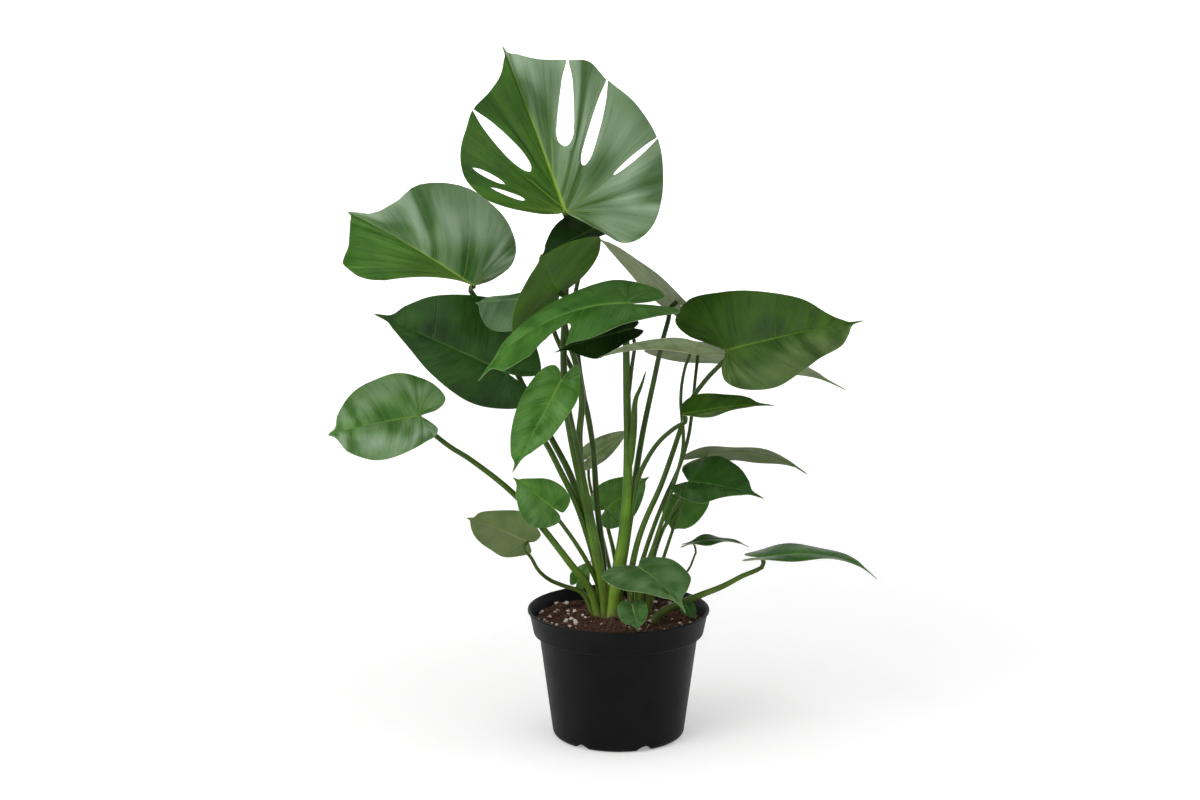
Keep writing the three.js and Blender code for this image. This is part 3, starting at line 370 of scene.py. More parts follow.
        way=[(29, 22, 165), (38, 30, 200), (54, 42, 229), (68, 50, 244)],
    ),
    "leaf_right_thin": dict(
        slot="leaf_dark", upper="old", under="grey",
        base=(82, 12, 215), tip=(139, 4, 214), face=(0, -0.05, 1),
        width=(14, 14), bend=40, power=1, veins=4, pleat=0.3, tail=5,
        group="stems_right", foot=3, top=1.1,
        way=[(40, 20, 153), (55, 20, 166), (76, 20, 180), (83, 16, 197)],
    ),
    "leaf_low_right": dict(
        slot="leaf_green", upper="blue", under="grey",
        base=(156, -20, 207), tip=(273, -40, 194), face=(0, -0.02, 1),
        width=(28, 18), lobe=0.7, bend=46, power=2, fold=(14, 6), veins=6, pleat=0.7, tail=10,
        group="stem_low_right", foot=6.5, top=2.4, tone=0.1,
        way=[(44, -6, 137), (62, -10, 149), (89, -14, 162), (113, -18, 173), (134, -20, 185)],
    ),
    "leaf_front_rim": dict(
        slot="leaf_green", upper="blue", under="grey",
        base=(21, -50, 204), tip=(65, -88, 172), face=(0.1, -0.45, 0.9),
        left=[(-0.022, 1.7), (-0.1, 10), (-0.04, 20), (0.1, 28), (0.28, 35), (0.51, 39),
            (0.68, 36), (0.86, 19)],
        right=[(-0.029, 1.7), (-0.12, 9), (-0.22, 24), (-0.21, 41), (-0.04, 48), (0.21, 42),
            (0.47, 29), (0.76, 13)],
        bend=24, curl=(-14, -14), sheen_share=(0.2, 0.3), veins=6, pleat=0.8, tail=11,
        group="stems_front", foot=4, top=2.2,
        way=[(19, -24, 148), (19, -30, 164), (19, -38, 184)],
    ),
    "leaf_front_small": dict(
        slot="leaf_green", upper="blue", under="grey",
        base=(14, -62, 166), tip=(20, -84, 144), face=(0, -0.9, 0.4),
        left=[(-0.04, 3), (-0.05, 9), (0.2, 15), (0.66, 12), (0.89, 6)],
        right=[(-0.05, 2), (-0.17, 8), (-0.04, 15), (0.39, 17), (0.75, 12)],
        bend=14, sheen_share=(0.1, 0.1), veins=4, pleat=0.4, tail=3,
        group="stems_front", foot=3, top=1.4,
        way=[(17, -32, 151), (14, -42, 168), (12, -50, 174)],
    ),
    "leaf_tiny_right": dict(
        slot="leaf_dark", upper="old", under="grey",
        base=(73, -32, 155), tip=(84, -38, 143), face=(0.1, -0.85, 0.5),
        width=(8.5, 8), bend=16, wave=1, veins=3, pleat=0.2, tail=2,
        group="stem_low_right", foot=2, top=1.1, branch=True,
        way=[(66, -11, 151), (69, -16, 154), (71, -21, 154)],
    ),
    "leaf_tiny_left": dict(
        slot="leaf_pale", upper="green", under="dull",
        base=(-46, 24, 166), tip=(-31, 20, 191), face=(0, -0.8, 0.6),
        width=(11, 11), bend=20, veins=3, pleat=0.2, tail=3,
        group="stems_main", foot=2.5, top=1.2,
        way=[(-31, 14, 150), (-40, 24, 157)],
    ),
}

# The rolled new leaf stands beside the middle stalk as a narrow spike.
ROLLED_LEAF = [(12, 4, 300), (16, -2, 345), (18, -8, 379), (24, -12, 395), (29, -14, 412)]


# ---- shaping helpers ----
def deselect():
    """Leaves nothing selected, so that an operator acts only on what comes next."""
    if bpy.context.object and bpy.context.object.mode != "OBJECT":
        bpy.ops.object.mode_set(mode="OBJECT")
    bpy.ops.object.select_all(action="DESELECT")


def pick(*pieces):
    """Selects these pieces alone, with the first one active."""
    deselect()
    for piece in pieces:
        piece.select_set(True)
    bpy.context.view_layer.objects.active = pieces[0]


def join(name, pieces):
    """Joins pieces into one and names it."""
    pick(*pieces)
    if len(pieces) > 1:
        bpy.ops.object.join()
    piece = bpy.context.object
    piece.name = piece.data.name = name
    return piece


def edit_whole(piece, operator, **settings):
    """Runs an edit-mode operator on the whole of a piece."""
    pick(piece)
    bpy.ops.object.mode_set(mode="EDIT")
    bpy.ops.mesh.select_all(action="SELECT")
    operator(**settings)
    bpy.ops.object.mode_set(mode="OBJECT")


def smooth(piece, angle):
    """Shades a piece smooth except over edges sharper than the angle."""
    pick(piece)
    bpy.ops.object.shade_smooth_by_angle(angle=math.radians(angle))


def finish_modifier(piece, kind, **settings):
    """Adds a modifier with its settings and applies it."""
    pick(piece)
    modifier = piece.modifiers.new(kind.title(), kind)
    for key, value in settings.items():
        setattr(modifier, key, value)
    bpy.ops.object.modifier_apply(modifier=modifier.name)


def shaped_grid(columns, rows, rule):
    """Adds a grid and moves its corners by a rule from (across, up), both 0 to 1, to mm."""
    deselect()
    bpy.ops.mesh.primitive_grid_add(x_subdivisions=columns, y_subdivisions=rows, size=2)
    piece = bpy.context.object
    places = np.empty(len(piece.data.vertices) * 3)
    piece.data.vertices.foreach_get("co", places)
    shares = (places.reshape(-1, 3)[:, :2] + 1) / 2
    places = rule(shares[:, 0], shares[:, 1])
    piece.data.vertices.foreach_set("co", (places * MM).ravel())
    piece.data.update()
    return piece, shares


def set_uv(piece, name, values):
    """Gives each corner its pair of values in the UV map of that name."""
    data = piece.data
    layer = data.uv_layers.get(name) or data.uv_layers.new(name=name)
    owner = np.empty(len(data.loops), int)
    data.loops.foreach_get("vertex_index", owner)
    layer.data.foreach_set("uv", values[owner].astype(np.float32).ravel())


def spline(points, place):
    """Points of a centripetal spline through the given ones, at places 0 to count - 1."""
    knots = np.asarray(points, float)
    knots = np.vstack([2 * knots[0] - knots[1], knots, 2 * knots[-1] - knots[-2]])
    index = np.clip(np.asarray(place).astype(int), 0, len(points) - 2)
    part = (place - index)[:, None]
    p0, p1, p2, p3 = (knots[index + step] for step in range(4))
    d0, d1, d2 = (
        np.maximum(np.linalg.norm(two - one, axis=1)[:, None], 1e-4) ** 0.5
        for one, two in ((p0, p1), (p1, p2), (p2, p3))
    )
    leave = ((p1 - p0) / d0 - (p2 - p0) / (d0 + d1) + (p2 - p1) / d1) * d1
    reach = ((p2 - p1) / d1 - (p3 - p1) / (d1 + d2) + (p3 - p2) / d2) * d1
    square = -3 * p1 + 3 * p2 - 2 * leave - reach
    cube = 2 * p1 - 2 * p2 + leave + reach
    return p1 + leave * part + square * part ** 2 + cube * part ** 3


def unit(vector):
    """A vector of length 1."""
    vector = np.asarray(vector, float)
    return vector / np.linalg.norm(vector)


# ---- blades ----
class Blade:
    """The surface of one leaf blade, in mm, bent from flat coordinates."""

    USUAL_LENGTH = 180  # mm of midrib of a grown blade, whose ribs are taken as full size
    RIB_STEPS = 96

    def __init__(self, row):
        self.row = row
        self.base = np.array(row["base"], float)
        chord = np.array(row["tip"], float) - self.base
        self.chord = np.linalg.norm(chord)
        self.along = chord / self.chord
        face = np.array(row["face"], float)
        self.face = unit(face - self.along * face.dot(self.along))
        self.across = np.cross(self.face, self.along)
        self.fold = np.radians(row.get("fold", (8, 8)))
        self.curl = np.radians(row.get("curl", (-20, -20)))
        self.wave = row.get("wave", 3)
        self.margins = [self.half_margin(0), self.half_margin(1)]
        self.reach = np.array([margin[:, 1].max() for margin in self.margins])
        self.columns = len(self.margins[0]) - 1
        self.bend_midrib()
        self.tail = row["tail"] / self.length
        self.size = min(max(self.length / self.USUAL_LENGTH, 0.35), 1.15)

    def half_margin(self, side):
        """Control points of one half margin with the share along scaled to percent."""
        own = self.row.get("right" if side else "left")
        if own is None:
            width = self.row["width"][side]
            lobe = self.row.get("lobe", 1)
            own = [(s * lobe if s < 0 else s, h * width) for s, h in HEART]
        return np.array([(s * 100, v) for s, v in own] + [(100, 0)])

    def bend_midrib(self):
        """The midrib leaves the stalk straight and bends more and more toward the tip."""
        count = self.RIB_STEPS
        bend = math.radians(self.row.get("bend", 30))
        power = self.row.get("power", 1.5)
        reach = int(count * 1.2)
        slope = -bend * ((np.arange(reach) + 0.5) / count) ** power
        forward = np.concatenate([[0], np.cumsum(np.cos(slope))])
        rise = np.concatenate([[0], np.cumsum(np.sin(slope))])
        lift = -math.atan2(rise[count], forward[count])
        scale = self.chord / math.hypot(forward[count], rise[count])
        turn = np.array([[math.cos(lift), -math.sin(lift)], [math.sin(lift), math.cos(lift)]])
        self.rib = np.vstack([forward, rise]).T @ turn.T * scale
        self.slopes = -bend * (np.arange(reach + 1) / count) ** power + lift
        self.shares = np.arange(reach + 1) / count
        self.length = count * scale

    def edge(self, side, column):
        """Share along and mm across of the margin at a column, drawn out into the drip tip."""
        points = spline(self.margins[side], column)
        last = np.clip(column - (self.columns - 1), 0, 1)
        share = points[:, 0] / 100 + self.tail * last ** 4
        width = points[:, 1] * (1 - 0.45 * np.sin(math.pi * last ** 1.3))
        return share, np.maximum(width, 0)

    def root(self, column):
        """Share along the midrib where the side vein of a column starts."""
        mean = (self.edge(0, column)[0] + self.edge(1, column)[0]) / 2
        top = 1 + self.tail
        share = np.clip((mean - 0.1) / (top - 0.1), 0, 1) ** self.row.get("root_power", 1.3)
        return np.clip(share - ROOT_START, 0, None) / (1 - ROOT_START) * top

    def flat(self, side, column, t):
        """Flat place (mm along, mm across) of the share t of a column's line."""
        share, width = self.edge(side, column)
        root = self.root(column)
        power = self.row.get("line_powers", (1.35, 1.35))[side]
        forward = root + (share - root) * t ** power
        return np.stack([forward * self.length, width * t], axis=1)

    def gap(self, cut, t):
        """Width of a cut at the share t: round ends, and drawn in softly toward the margin."""
        shares = np.array(self.row["row_shares"])
        widths = np.array(cut["widths"], float)
        widest = int(widths.argmax())
        opened = np.flatnonzero(widths)
        opens, closes = opened[0] - 1, opened[-1] + 1
        steps = [np.interp(t + shift, shares, widths) for shift in (-0.04, -0.02, 0, 0.02, 0.04)]
        gap = np.mean(steps, axis=0)
        gap[t <= shares[opens]] = 0
        full = widest if widest < len(shares) - 1 else opens + 1
        near = (t > shares[opens]) & (t <= shares[full])
        part = (t[near] - shares[opens]) / (shares[full] - shares[opens])
        gap[near] = widths[full] * np.sqrt(1 - (1 - part) ** 2)
        if closes < len(shares):
            near = (t > shares[widest]) & (t <= shares[closes])
            part = (t[near] - shares[widest]) / (shares[closes] - shares[widest])
            gap[near] = widths[widest] * np.sqrt(1 - part ** 2)
            gap[t > shares[closes]] = 0
        return gap

    def lines(self, side, column):
        """Side veins counted along the margin, unevenly spaced: whole numbers are veins."""
        count = self.row["veins"] * column / self.columns
        wander = 0.22 * np.sin(2.3 * count + self.row["veins"] + 2 * side)
        return count + wander + (0.5 if side else 0.3)

    def relief(self, side, column, t, spread, width):
        """mm that the blade stands up between its side veins and sinks at the midrib."""
        count = self.lines(side, column)
        swell = np.abs(np.sin(math.pi * count)) ** 0.75
        small = 0.12 * np.sin(6 * math.pi * count) * np.clip(spread / 12, 0, 1)
        deep = 0.65 + 0.5 * np.sin(1.7 * count + 3 * side + self.row["veins"])
        amount = self.row["pleat"] * deep * np.clip(spread / 16, 0, 1.2)
        fade = np.sin(math.pi * np.clip(t, 0, 1) ** 0.7) ** 0.6
        furrow = 1.1 * self.size * np.exp(-(width / (2.2 * self.size)) ** 2)
        return amount * fade * (swell + small - 0.6) - furrow

    def place(self, side, flat, rise):
        """Point in the pot's frame of a flat place, lifted by rise."""
        share, reach = flat[:, 0] / self.length, flat[:, 1]
        inside = np.clip(share, 0, None)
        behind = np.minimum(share, 0) * self.length
        start = self.slopes[0]
        forward = np.interp(inside, self.shares, self.rib[:, 0]) + behind * math.cos(start)
        up_rib = np.interp(inside, self.shares, self.rib[:, 1]) + behind * math.sin(start)
        slope = np.interp(inside, self.shares, self.slopes)
        part = reach / self.reach[side]
        turn = self.curl[side] * part
        lean = self.fold[side] + turn / 2
        bow = np.sinc(turn / 2 / math.pi)
        out = reach * bow * np.cos(lean)
        up = reach * bow * np.sin(lean) + rise
        up += self.wave * part ** 2 * np.sin(share * 8 + side * 2)
        point = self.base + np.outer(forward - up * np.sin(slope), self.along)
        point += np.outer(up_rib + up * np.cos(slope), self.face)
        point += np.outer(out if side == 0 else -out, self.across)
        return point

    def normal(self):
        """The way the upper side looks at the stalk."""
        start = self.slopes[0]
        return self.face * math.cos(start) - self.along * math.sin(start)

    def row_shares(self):
        """Shares of the rows from the midrib to the margin, closer together at cut ends."""
        count = int(np.clip(self.reach.max() / 2.2, 9, 46))
        shares = list(np.linspace(0, 1, count + 1))
        for cut in self.row.get("cuts", []):
            rows, widths = self.row["row_shares"], cut["widths"]
            for row in range(len(rows) - 1):
                if (widths[row] == 0) != (widths[row + 1] == 0):
                    for part in (0.03, 0.12, 0.28, 0.5, 0.75):
                        part = part if widths[row] == 0 else 1 - part
                        shares.append(rows[row] + part * (rows[row + 1] - rows[row]))
        kept = [0.0]
        for share in sorted(shares):
            if share - kept[-1] > 0.004:
                kept.append(share)
        kept[-1] = 1.0
        return np.array(kept)


def blade_panel(blade, side, first, last, fine, shares):
    """One stretch of a half blade between two columns that are cut or ends."""
    cuts = {cut["column"]: cut for cut in blade.row.get("cuts", []) if cut["side"] == side}
    facts = {}

    def rule(across, up):
        """Flat coordinates first, then the cuts' banks, then the bent surface."""
        if side:
            across = 1 - across
        column = first + across * (last - first)
        t = shares[np.rint(up * (len(shares) - 1)).astype(int)]
        flat = blade.flat(side, column, t)
        after, before = np.minimum(column + 0.02, blade.columns), np.maximum(column - 0.02, 0)
        drift = blade.flat(side, after, t) - blade.flat(side, before, t)
        drift /= (after - before)[:, None]
        way = blade.flat(side, column, t + 0.01) - blade.flat(side, column, t - 0.01 * (t > 0.01))
        way /= np.maximum(np.linalg.norm(way, axis=1), 1e-9)[:, None]
        per_column = np.abs(drift[:, 0] * way[:, 1] - drift[:, 1] * way[:, 0])
        spread = per_column * blade.columns / blade.row["veins"]
        width = flat[:, 1].copy()
        for bank, tipward in ((first, 1), (last, -1)):
            if bank in cuts:
                near = np.clip(1 - np.abs(column - bank), 0, 1)
                shift = tipward * 0.5 * blade.gap(cuts[bank], t) * near
                flat[:, 0] += way[:, 1] * shift
                flat[:, 1] -= way[:, 0] * shift
        run = flat[:, 0] / blade.length
        to_rim = np.linalg.norm(blade.flat(side, column, np.ones_like(t)) - flat, axis=1)
        rib = 0.35 + 2.1 * blade.size * np.clip(1 - run, 0, 1.1)
        vein = (1.0 - 0.6 * t) * blade.size
        # The share of this half that gets the painted sheen, a pale colour standing in for
        # reflected light.
        sheen_share = np.full_like(t, blade.row.get("sheen_share", (0.06, 0.06))[side])
        facts.update(
            veins=(blade.lines(side, column), spread / vein),
            blade=(np.abs(width) / rib, to_rim), wax=(sheen_share, t), run=(run, t),
        )
        return blade.place(side, flat, blade.relief(side, column, t, spread, width))

    piece, _ = shaped_grid(fine * (last - first), len(shares) - 1, rule)
    piece.data.uv_layers[0].name = "veins"
    for name, pair in facts.items():
        set_uv(piece, name, np.stack(pair, axis=1))
    return piece


def make_blade(name, row, finishes, thickness):
    """A leaf blade with its cuts, side veins, thickness and midrib keel."""
    blade = Blade(row)
    margin = spline(blade.margins[0], np.linspace(0, blade.columns, 60))
    margin[:, 0] *= blade.length / 100
    around = np.linalg.norm(np.diff(margin, axis=0), axis=1).sum()
    fine = int(np.clip(around / blade.columns / 2.6, 3, 12))
    shares = blade.row_shares()
    panels = []
    for side in (0, 1):
        stops = {cut["column"] for cut in row.get("cuts", []) if cut["side"] == side}
        stops = sorted(stops | {0, blade.columns})
        for first, last in zip(stops, stops[1:]):
            panels.append(blade_panel(blade, side, first, last, fine, shares))
    sheet = join(name, panels)
    edit_whole(sheet, bpy.ops.mesh.remove_doubles, threshold=WELD * MM)
    sheet.data.materials.clear()
    sheet.data.materials.append(finishes[row["upper"]])
    sheet.data.materials.append(finishes["under_" + row["under"]])
    finish_modifier(
        sheet, "SOLIDIFY", thickness=thickness * MM, offset=0, use_even_offset=False,
        material_offset=1, material_offset_rim=1,
    )
    smooth(sheet, 50)
    return sheet


# ---- stalks ----
def tube(points, radius, sides=16, groove=0.0, tone=0.3):
    """A closed round rod along a spline. radius: a rule from the share along to mm.

    groove: share of the radius that the channel on its upper side takes. tone: 0 for a
    thin dark stalk, 1 for a stout pale one.
    """
    fine = spline(points, np.linspace(0, len(points) - 1, 60 * len(points)))
    steps = np.linalg.norm(np.diff(fine, axis=0), axis=1)
    run = np.concatenate([[0], np.cumsum(steps)])
    rings = max(6, int(run[-1] / RING_STEP))
    place = np.linspace(0, run[-1], rings + 1)
    centre = np.stack([np.interp(place, run, fine[:, axis]) for axis in range(3)], axis=1)
    ahead = np.gradient(centre, axis=0)
    ahead /= np.linalg.norm(ahead, axis=1)[:, None]
    side = unit(np.cross(ahead[0], (0.3, 1, 0.1)))
    sideways = []
    for way in ahead:
        side = unit(side - way * side.dot(way))
        sideways.append(side)
    sideways = np.array(sideways)
    upward = np.cross(ahead, sideways)

    def rule(across, up):
        """Rings across, angle up."""
        ring = np.rint(across * rings).astype(int)
        angle = up * 2 * math.pi
        reach = radius(place[ring] / run[-1], angle) * (1 - groove * np.cos(angle) ** 8)
        out = sideways[ring] * np.cos(angle)[:, None] + upward[ring] * np.sin(angle)[:, None]
        return centre[ring] + out * reach[:, None]

    piece, shares = shaped_grid(rings, sides, rule)
    piece.data.uv_layers[0].name = "stalk"
    set_uv(piece, "stalk", np.stack([shares[:, 0] * run[-1], shares[:, 1]], axis=1))
    set_uv(piece, "tone", np.stack([np.full(len(shares), tone), shares[:, 0]], axis=1))
    edit_whole(piece, bpy.ops.mesh.remove_doubles, threshold=WELD * MM)
    edit_whole(piece, bpy.ops.mesh.fill_holes, sides=0)
    edit_whole(piece, bpy.ops.mesh.normals_make_consistent, inside=False)
    return piece


def make_stalk(row):
    """A leaf stalk from its crown in the mix to the underside of its blade."""
    blade = Blade(row)
    normal = blade.normal()
    ends = [tuple(blade.base - normal * 10), tuple(blade.base - normal * 0.6)]
    buried = []
    if not row.get("branch"):
        pulled = (a + (b - a) * CROWN_PULL for a, b in zip(row["way"][0], CROWNS[row["group"]]))
        buried = [(*pulled, CROWN_FOOT)]
    foot, top = row["foot"], row["top"]
    taper = SLIM_TAPER if row["group"] == "stems_right" else TAPER

    def radius(share, angle):
        """Radius in mm: a wide sheathed foot, a slim neck and a swollen knee."""
        size = foot + (top - foot) * share ** taper
        knee = np.exp(-((share - 0.965) / 0.025) ** 2)
        wing = np.clip(1 - share / 0.5, 0, 1) * np.maximum(np.cos(angle - 0.8), 0) ** 6
        return size * (1 + 0.1 * knee) + 0.16 * foot * wing

    tone = row.get("tone", min(max((foot - 3) / 5, 0), 1))
    return tube(buried + row["way"] + ends, radius, groove=0.06, tone=tone)


def rolled_radius(share, angle):
    """Radius in mm of the rolled leaf: a slim spindle with the seam of its outer edge."""
    size = 0.4 + 3.6 * np.sin(math.pi * share ** 0.5) ** 0.7
    return size * (1 + 0.08 * np.maximum(np.cos(angle + 5 * share), 0) ** 10)


# ---- materials ----
def linear(value):
    """The linear colour of an sRGB hex value. Any other value stays as it is."""
    if not isinstance(value, str):
        return value
    parts = [int(value[place:place + 2], 16) / 255 for place in (1, 3, 5)]
    return (*(p / 12.92 if p <= 0.04045 else ((p + 0.055) / 1.055) ** 2.4 for p in parts), 1.0)


def node(tree, kind, *values, stops=(), **settings):
    """Adds a node and returns its first output.

    Values fill the sockets that the node shows, in order. A setting with a capital fills
    the socket of that name, and any other sets a field. stops: colours of its ramp.
    """
    item = tree.nodes.new("ShaderNode" + kind)
    for key, value in settings.items():
        if key[0].islower():
            setattr(item, key, value)
    filled = list(zip([socket for socket in item.inputs if socket.enabled], values))
    for key, value in settings.items():
        if key[0].isupper():
            filled.append((item.inputs[key.replace("_", " ")], value))
    for socket, value in filled:
        if isinstance(value, bpy.types.NodeSocket):
            tree.links.new(value, socket)
        else:
            socket.default_value = linear(value)
    for _ in stops[2:]:
        item.color_ramp.elements.new(0.5)
    for index, (place, colour) in enumerate(stops):
        item.color_ramp.elements[index].position = place
        item.color_ramp.elements[index].color = linear(colour)
    return next((socket for socket in item.outputs if socket.enabled), None)


def new_material(name):
    """An empty material and the way to add nodes to it."""
    material = bpy.data.materials.new(name)
    material.use_nodes = True
    material.node_tree.nodes.clear()
    return material, partial(node, material.node_tree)


def vein_mask(add, count, sharpness, folds, reach):
    """1 on a side vein and 0 away from it. folds: veins to one primary vein."""
    times = add("Math", count, folds, operation="MULTIPLY")
    part = add("Math", times, operation="FRACT")
    middle = add("Math", part, 0.5, operation="SUBTRACT")
    off = add("Math", middle, operation="ABSOLUTE")
    near = add("Math", 0.5, off, operation="SUBTRACT")
    far = add("Math", near, sharpness, operation="MULTIPLY")
    return add("MapRange", far, reach * 0.25, reach, 1.0, 0.0, interpolation_type="SMOOTHSTEP")


def leaf_finish(name, colours, rough=0.3, raised=-1.0, wax=1.0):
    """Living monstera blade: waxy skin over soft green tissue that lets some light through.

    The skin's cell rows give fine streaks along the side veins, and a painted sheen, a pale
    colour that stands in for reflected light, turns the green pale in broad streaky sweeps.
    Side veins lie 15 to 25 mm apart with finer ones between them, and light from behind
    shows the tissue yellower.
    """
    deep, bright, vein, pale, glow = colours
    patch, cell, bump_depth = 34 * MM, 2.4 * MM, 0.55 * MM
    through = 0.16  # share of the light that passes the blade
    material, add = new_material(name)
    (count, sharp, _), (off_rib, off_rim, _), (sheen_share, out, _), (run, _, _) = (
        add("SeparateXYZ", add("UVMap", uv_map=key)).node.outputs
        for key in ("veins", "blade", "wax", "run")
    )
    main = vein_mask(add, count, sharp, 1.0, 0.9)
    fine = vein_mask(add, count, sharp, 5.0, 2.6)
    valley = vein_mask(add, count, 1.0, 1.0, 0.3)
    rib = add("MapRange", off_rib, 0.45, 1.1, 1.0, 0.0, interpolation_type="SMOOTHSTEP")
    rim = add("MapRange", off_rim, 0.3, 1.0, 1.0, 0.0, interpolation_type="SMOOTHSTEP")
    rows = add("CombineXYZ", count, out)
    streaks = add("TexNoise", add("Mapping", rows, Scale=(9.0, 1.6, 1.0)), 1.0, 4.0, 0.65)
    sweeps = add("TexNoise", add("Mapping", rows, Scale=(1.1, 1.3, 1.0)), 1.0, 1.0, 0.5)
    where = add("TexCoord").node.outputs["Object"]
    patches = add("TexNoise", where, 1 / patch, 3.0, 0.55)
    cells = add("TexVoronoi", where, 1 / cell, feature="DISTANCE_TO_EDGE")
    net = add("MapRange", cells, 0.0, 0.16, 1.0, 0.0)
    uneven = add("Math", streaks, patches, operation="ADD")
    uneven = add("Math", uneven, sweeps, operation="ADD")
    tissue = add("MapRange", uneven, 1.05, 1.95, 0.0, 1.0)

    # The painted sheen, a pale colour standing in for reflected light, lies in broad sweeps,
    # grained along the veins, thinner over them and inward.
    sheen_mask = add("MapRange", sweeps, 0.4, 0.62, 0.25, 1.2)
    for layer in (
        add("MapRange", streaks, 0.3, 0.7, 0.7, 1.05),
        add("MapRange", valley, 0.0, 1.0, wax, wax * 0.6),
        add("MapRange", out, 0.15, 0.7, 0.5, 1.2),
        sheen_share,
    ):
        sheen_mask = add("Math", sheen_mask, layer, operation="MULTIPLY", use_clamp=layer is sheen_share)

    # Painted shade: along the side veins, where the blade sinks, the green is darkened toward the
    # deep green. Veins show more on the inner half of a blade, and the midrib fades toward the
    # tip.
    shade = add("Math", valley, 0.25, operation="MULTIPLY")
    inward = add("MapRange", out, 0.1, 0.9, 0.3, 0.08)
    tipward = add("MapRange", run, 0.1, 0.85, 0.8, 0.25)
    firm = add("Math", main, inward, operation="MULTIPLY")
    soft = add("Math", fine, 0.07, operation="MULTIPLY")
    most = add("Math", rib, tipward, operation="MULTIPLY")
    thin = add("Math", rim, 0.3, operation="MULTIPLY")
    green = add("Mix", tissue, deep, bright, data_type="RGBA")
    for share, colour in (
        (shade, deep), (sheen_mask, pale), (firm, vein), (soft, vein), (most, vein), (thin, vein),
    ):
        green = add("Mix", share, green, colour, data_type="RGBA")

    height = add("Math", add("Math", fine, 0.3, operation="MULTIPLY"), main, operation="ADD")
    lines = add("Math", net, 0.15, operation="MULTIPLY")
    height = add("Math", height, lines, operation="ADD")
    height = add("Math", height, raised, operation="MULTIPLY")
    height = add("Math", height, streaks, operation="ADD")
    bump = add("Bump", Height=height, Strength=0.9, Distance=bump_depth)
    wear = add("MapRange", streaks, 0.3, 0.7, rough - 0.06, rough + 0.1)
    skin = add(
        "BsdfPrincipled", Base_Color=green, Roughness=wear, IOR=1.43, Specular_IOR_Level=0.21,
        Normal=bump,
    )
    behind = add("BsdfTranslucent", add("Mix", 0.5, green, glow, data_type="RGBA"), bump)
    add("OutputMaterial", add("MixShader", through, skin, behind))
    return material


def blade_finishes(tints):
    """The skins of the blades: upper sides from new to old and undersides by their light.

    Each has its deep and bright green, its veins, its painted sheen and the light that comes
    through.
    """
    young, grown, old = (tuple(colour) for colour in (tints.young, tints.grown, tints.old))
    # The fourth colour of each skin is its painted sheen: a pale colour laid where a blade would
    # catch the light, standing in for reflected light.
    wax = "#91a78b"
    skins = {
        "grown": ("#163a06", grown, "#86a63a", wax, "#8fc030"),
        "waxy": ("#1e4a0e", "#4c7c22", "#8fae4a", wax, "#9cc83c"),
        "old": ("#132c07", old, "#4a7034", "#5f7a50", "#4f8a2b"),
        "green": ("#245210", "#588a2c", "#6c9436", wax, "#8fc030"),
        "olive": ("#3a5c08", "#4f7a0c", "#6f9420", "#9fae70", "#a8cc30"),
        "shaded": ("#0c2406", "#1f3c10", "#3f6428", "#4f6840", "#3f7a1c"),
        "fresh": ("#225212", young, "#6f9c46", "#8fae78", "#8fd050"),
        "deep": ("#173202", "#365806", "#557a20", "#7f8f60", "#6fa82c"),
        "blue": ("#24481a", "#4c783a", "#7a9a54", "#8fa67c", "#7fb860"),
        "dusty": ("#4a5f34", "#6f8452", "#93a870", "#a3b08c", "#9cb860"),
    }
    undersides = {
        "grey": ("#5f6c46", "#7c8a60", "#a0a880", wax, "#b8c870"),
        "olive": ("#5a6f38", "#78884e", "#a0aa70", wax, "#b0b860"),
        "lit": ("#2c4b05", "#42680a", "#4c7614", "#7f9a58", "#a8cc30"),
        "cup": ("#4c6c44", "#688a5c", "#94ac84", wax, "#8fb060"),
        "dull": ("#44562a", "#5a6c3c", "#7a8650", "#8a9a6c", "#90a850"),
        "green": ("#30601a", "#467428", "#7c9a4c", "#8fa070", "#90b850"),
        # dark: painted shade, an underside darkened for the leaves that lie in shade under others.
        "dark": ("#1a3010", "#2c4a1e", "#3f5a2c", "#4f6840", "#3f7a1c"),
    }
    made = {name: leaf_finish(name + "_blade_skin", row) for name, row in skins.items()}
    for name, row in undersides.items():  # duller than the upper side, with raised veins
        made["under_" + name] = leaf_finish(
            name + "_blade_underside", row, rough=0.5, raised=1.0, wax=0.5
        )
    return made


def stalk_finish(tint):
    """Fresh leaf stalk: a smooth waxy rind with a soft shine and fine lengthwise fibres.

    A stout stalk is pale at the sheath and olive higher up, and a slim one stays dark.
    """
    material, add = new_material("fresh_stalk_rind")
    around = add("SeparateXYZ", add("UVMap", uv_map="stalk")).node.outputs
    tone = add("SeparateXYZ", add("UVMap", uv_map="tone"))
    where = add("TexCoord").node.outputs["Object"]
    up = add("SeparateXYZ", where).node.outputs["Z"]
    height = add("MapRange", up, 0.125, 0.5, 0.0, 1.0)
    stout = add("ValToRGB", height, stops=[
        (0.0, "#8f9c5c"), (0.06, "#769632"), (0.28, "#4f771b"), (0.6, tint), (1.0, "#34501a"),
    ])
    slim = add("ValToRGB", height, stops=[
        (0.0, "#55652e"), (0.14, "#344912"), (0.5, "#27390d"), (1.0, "#333a1f"),
    ])
    base = add("Mix", tone, slim, stout, data_type="RGBA")
    length = add("CombineXYZ", around[0], around[1])
    fibres = add("TexNoise", add("Mapping", length, Scale=(0.02, 26.0, 1.0)), 1.0, 3.0, 0.6)
    patches = add("TexNoise", where, 1 / (30 * MM), 2.0)
    shade = add("MapRange", patches, 0.3, 0.7, 0.65, 1.15)
    streak = add("MapRange", fibres, 0.35, 0.65, 0.82, 1.15)
    both = add("Math", shade, streak, operation="MULTIPLY")
    tinted = add("VectorMath", base, both, operation="SCALE")
    bump = add("Bump", Height=fibres, Strength=0.25, Distance=0.3 * MM)
    rind = add(
        "BsdfPrincipled", Base_Color=tinted, Roughness=0.32, IOR=1.42, Specular_IOR_Level=0.2,
        Normal=bump,
    )
    add("OutputMaterial", rind)
    return material


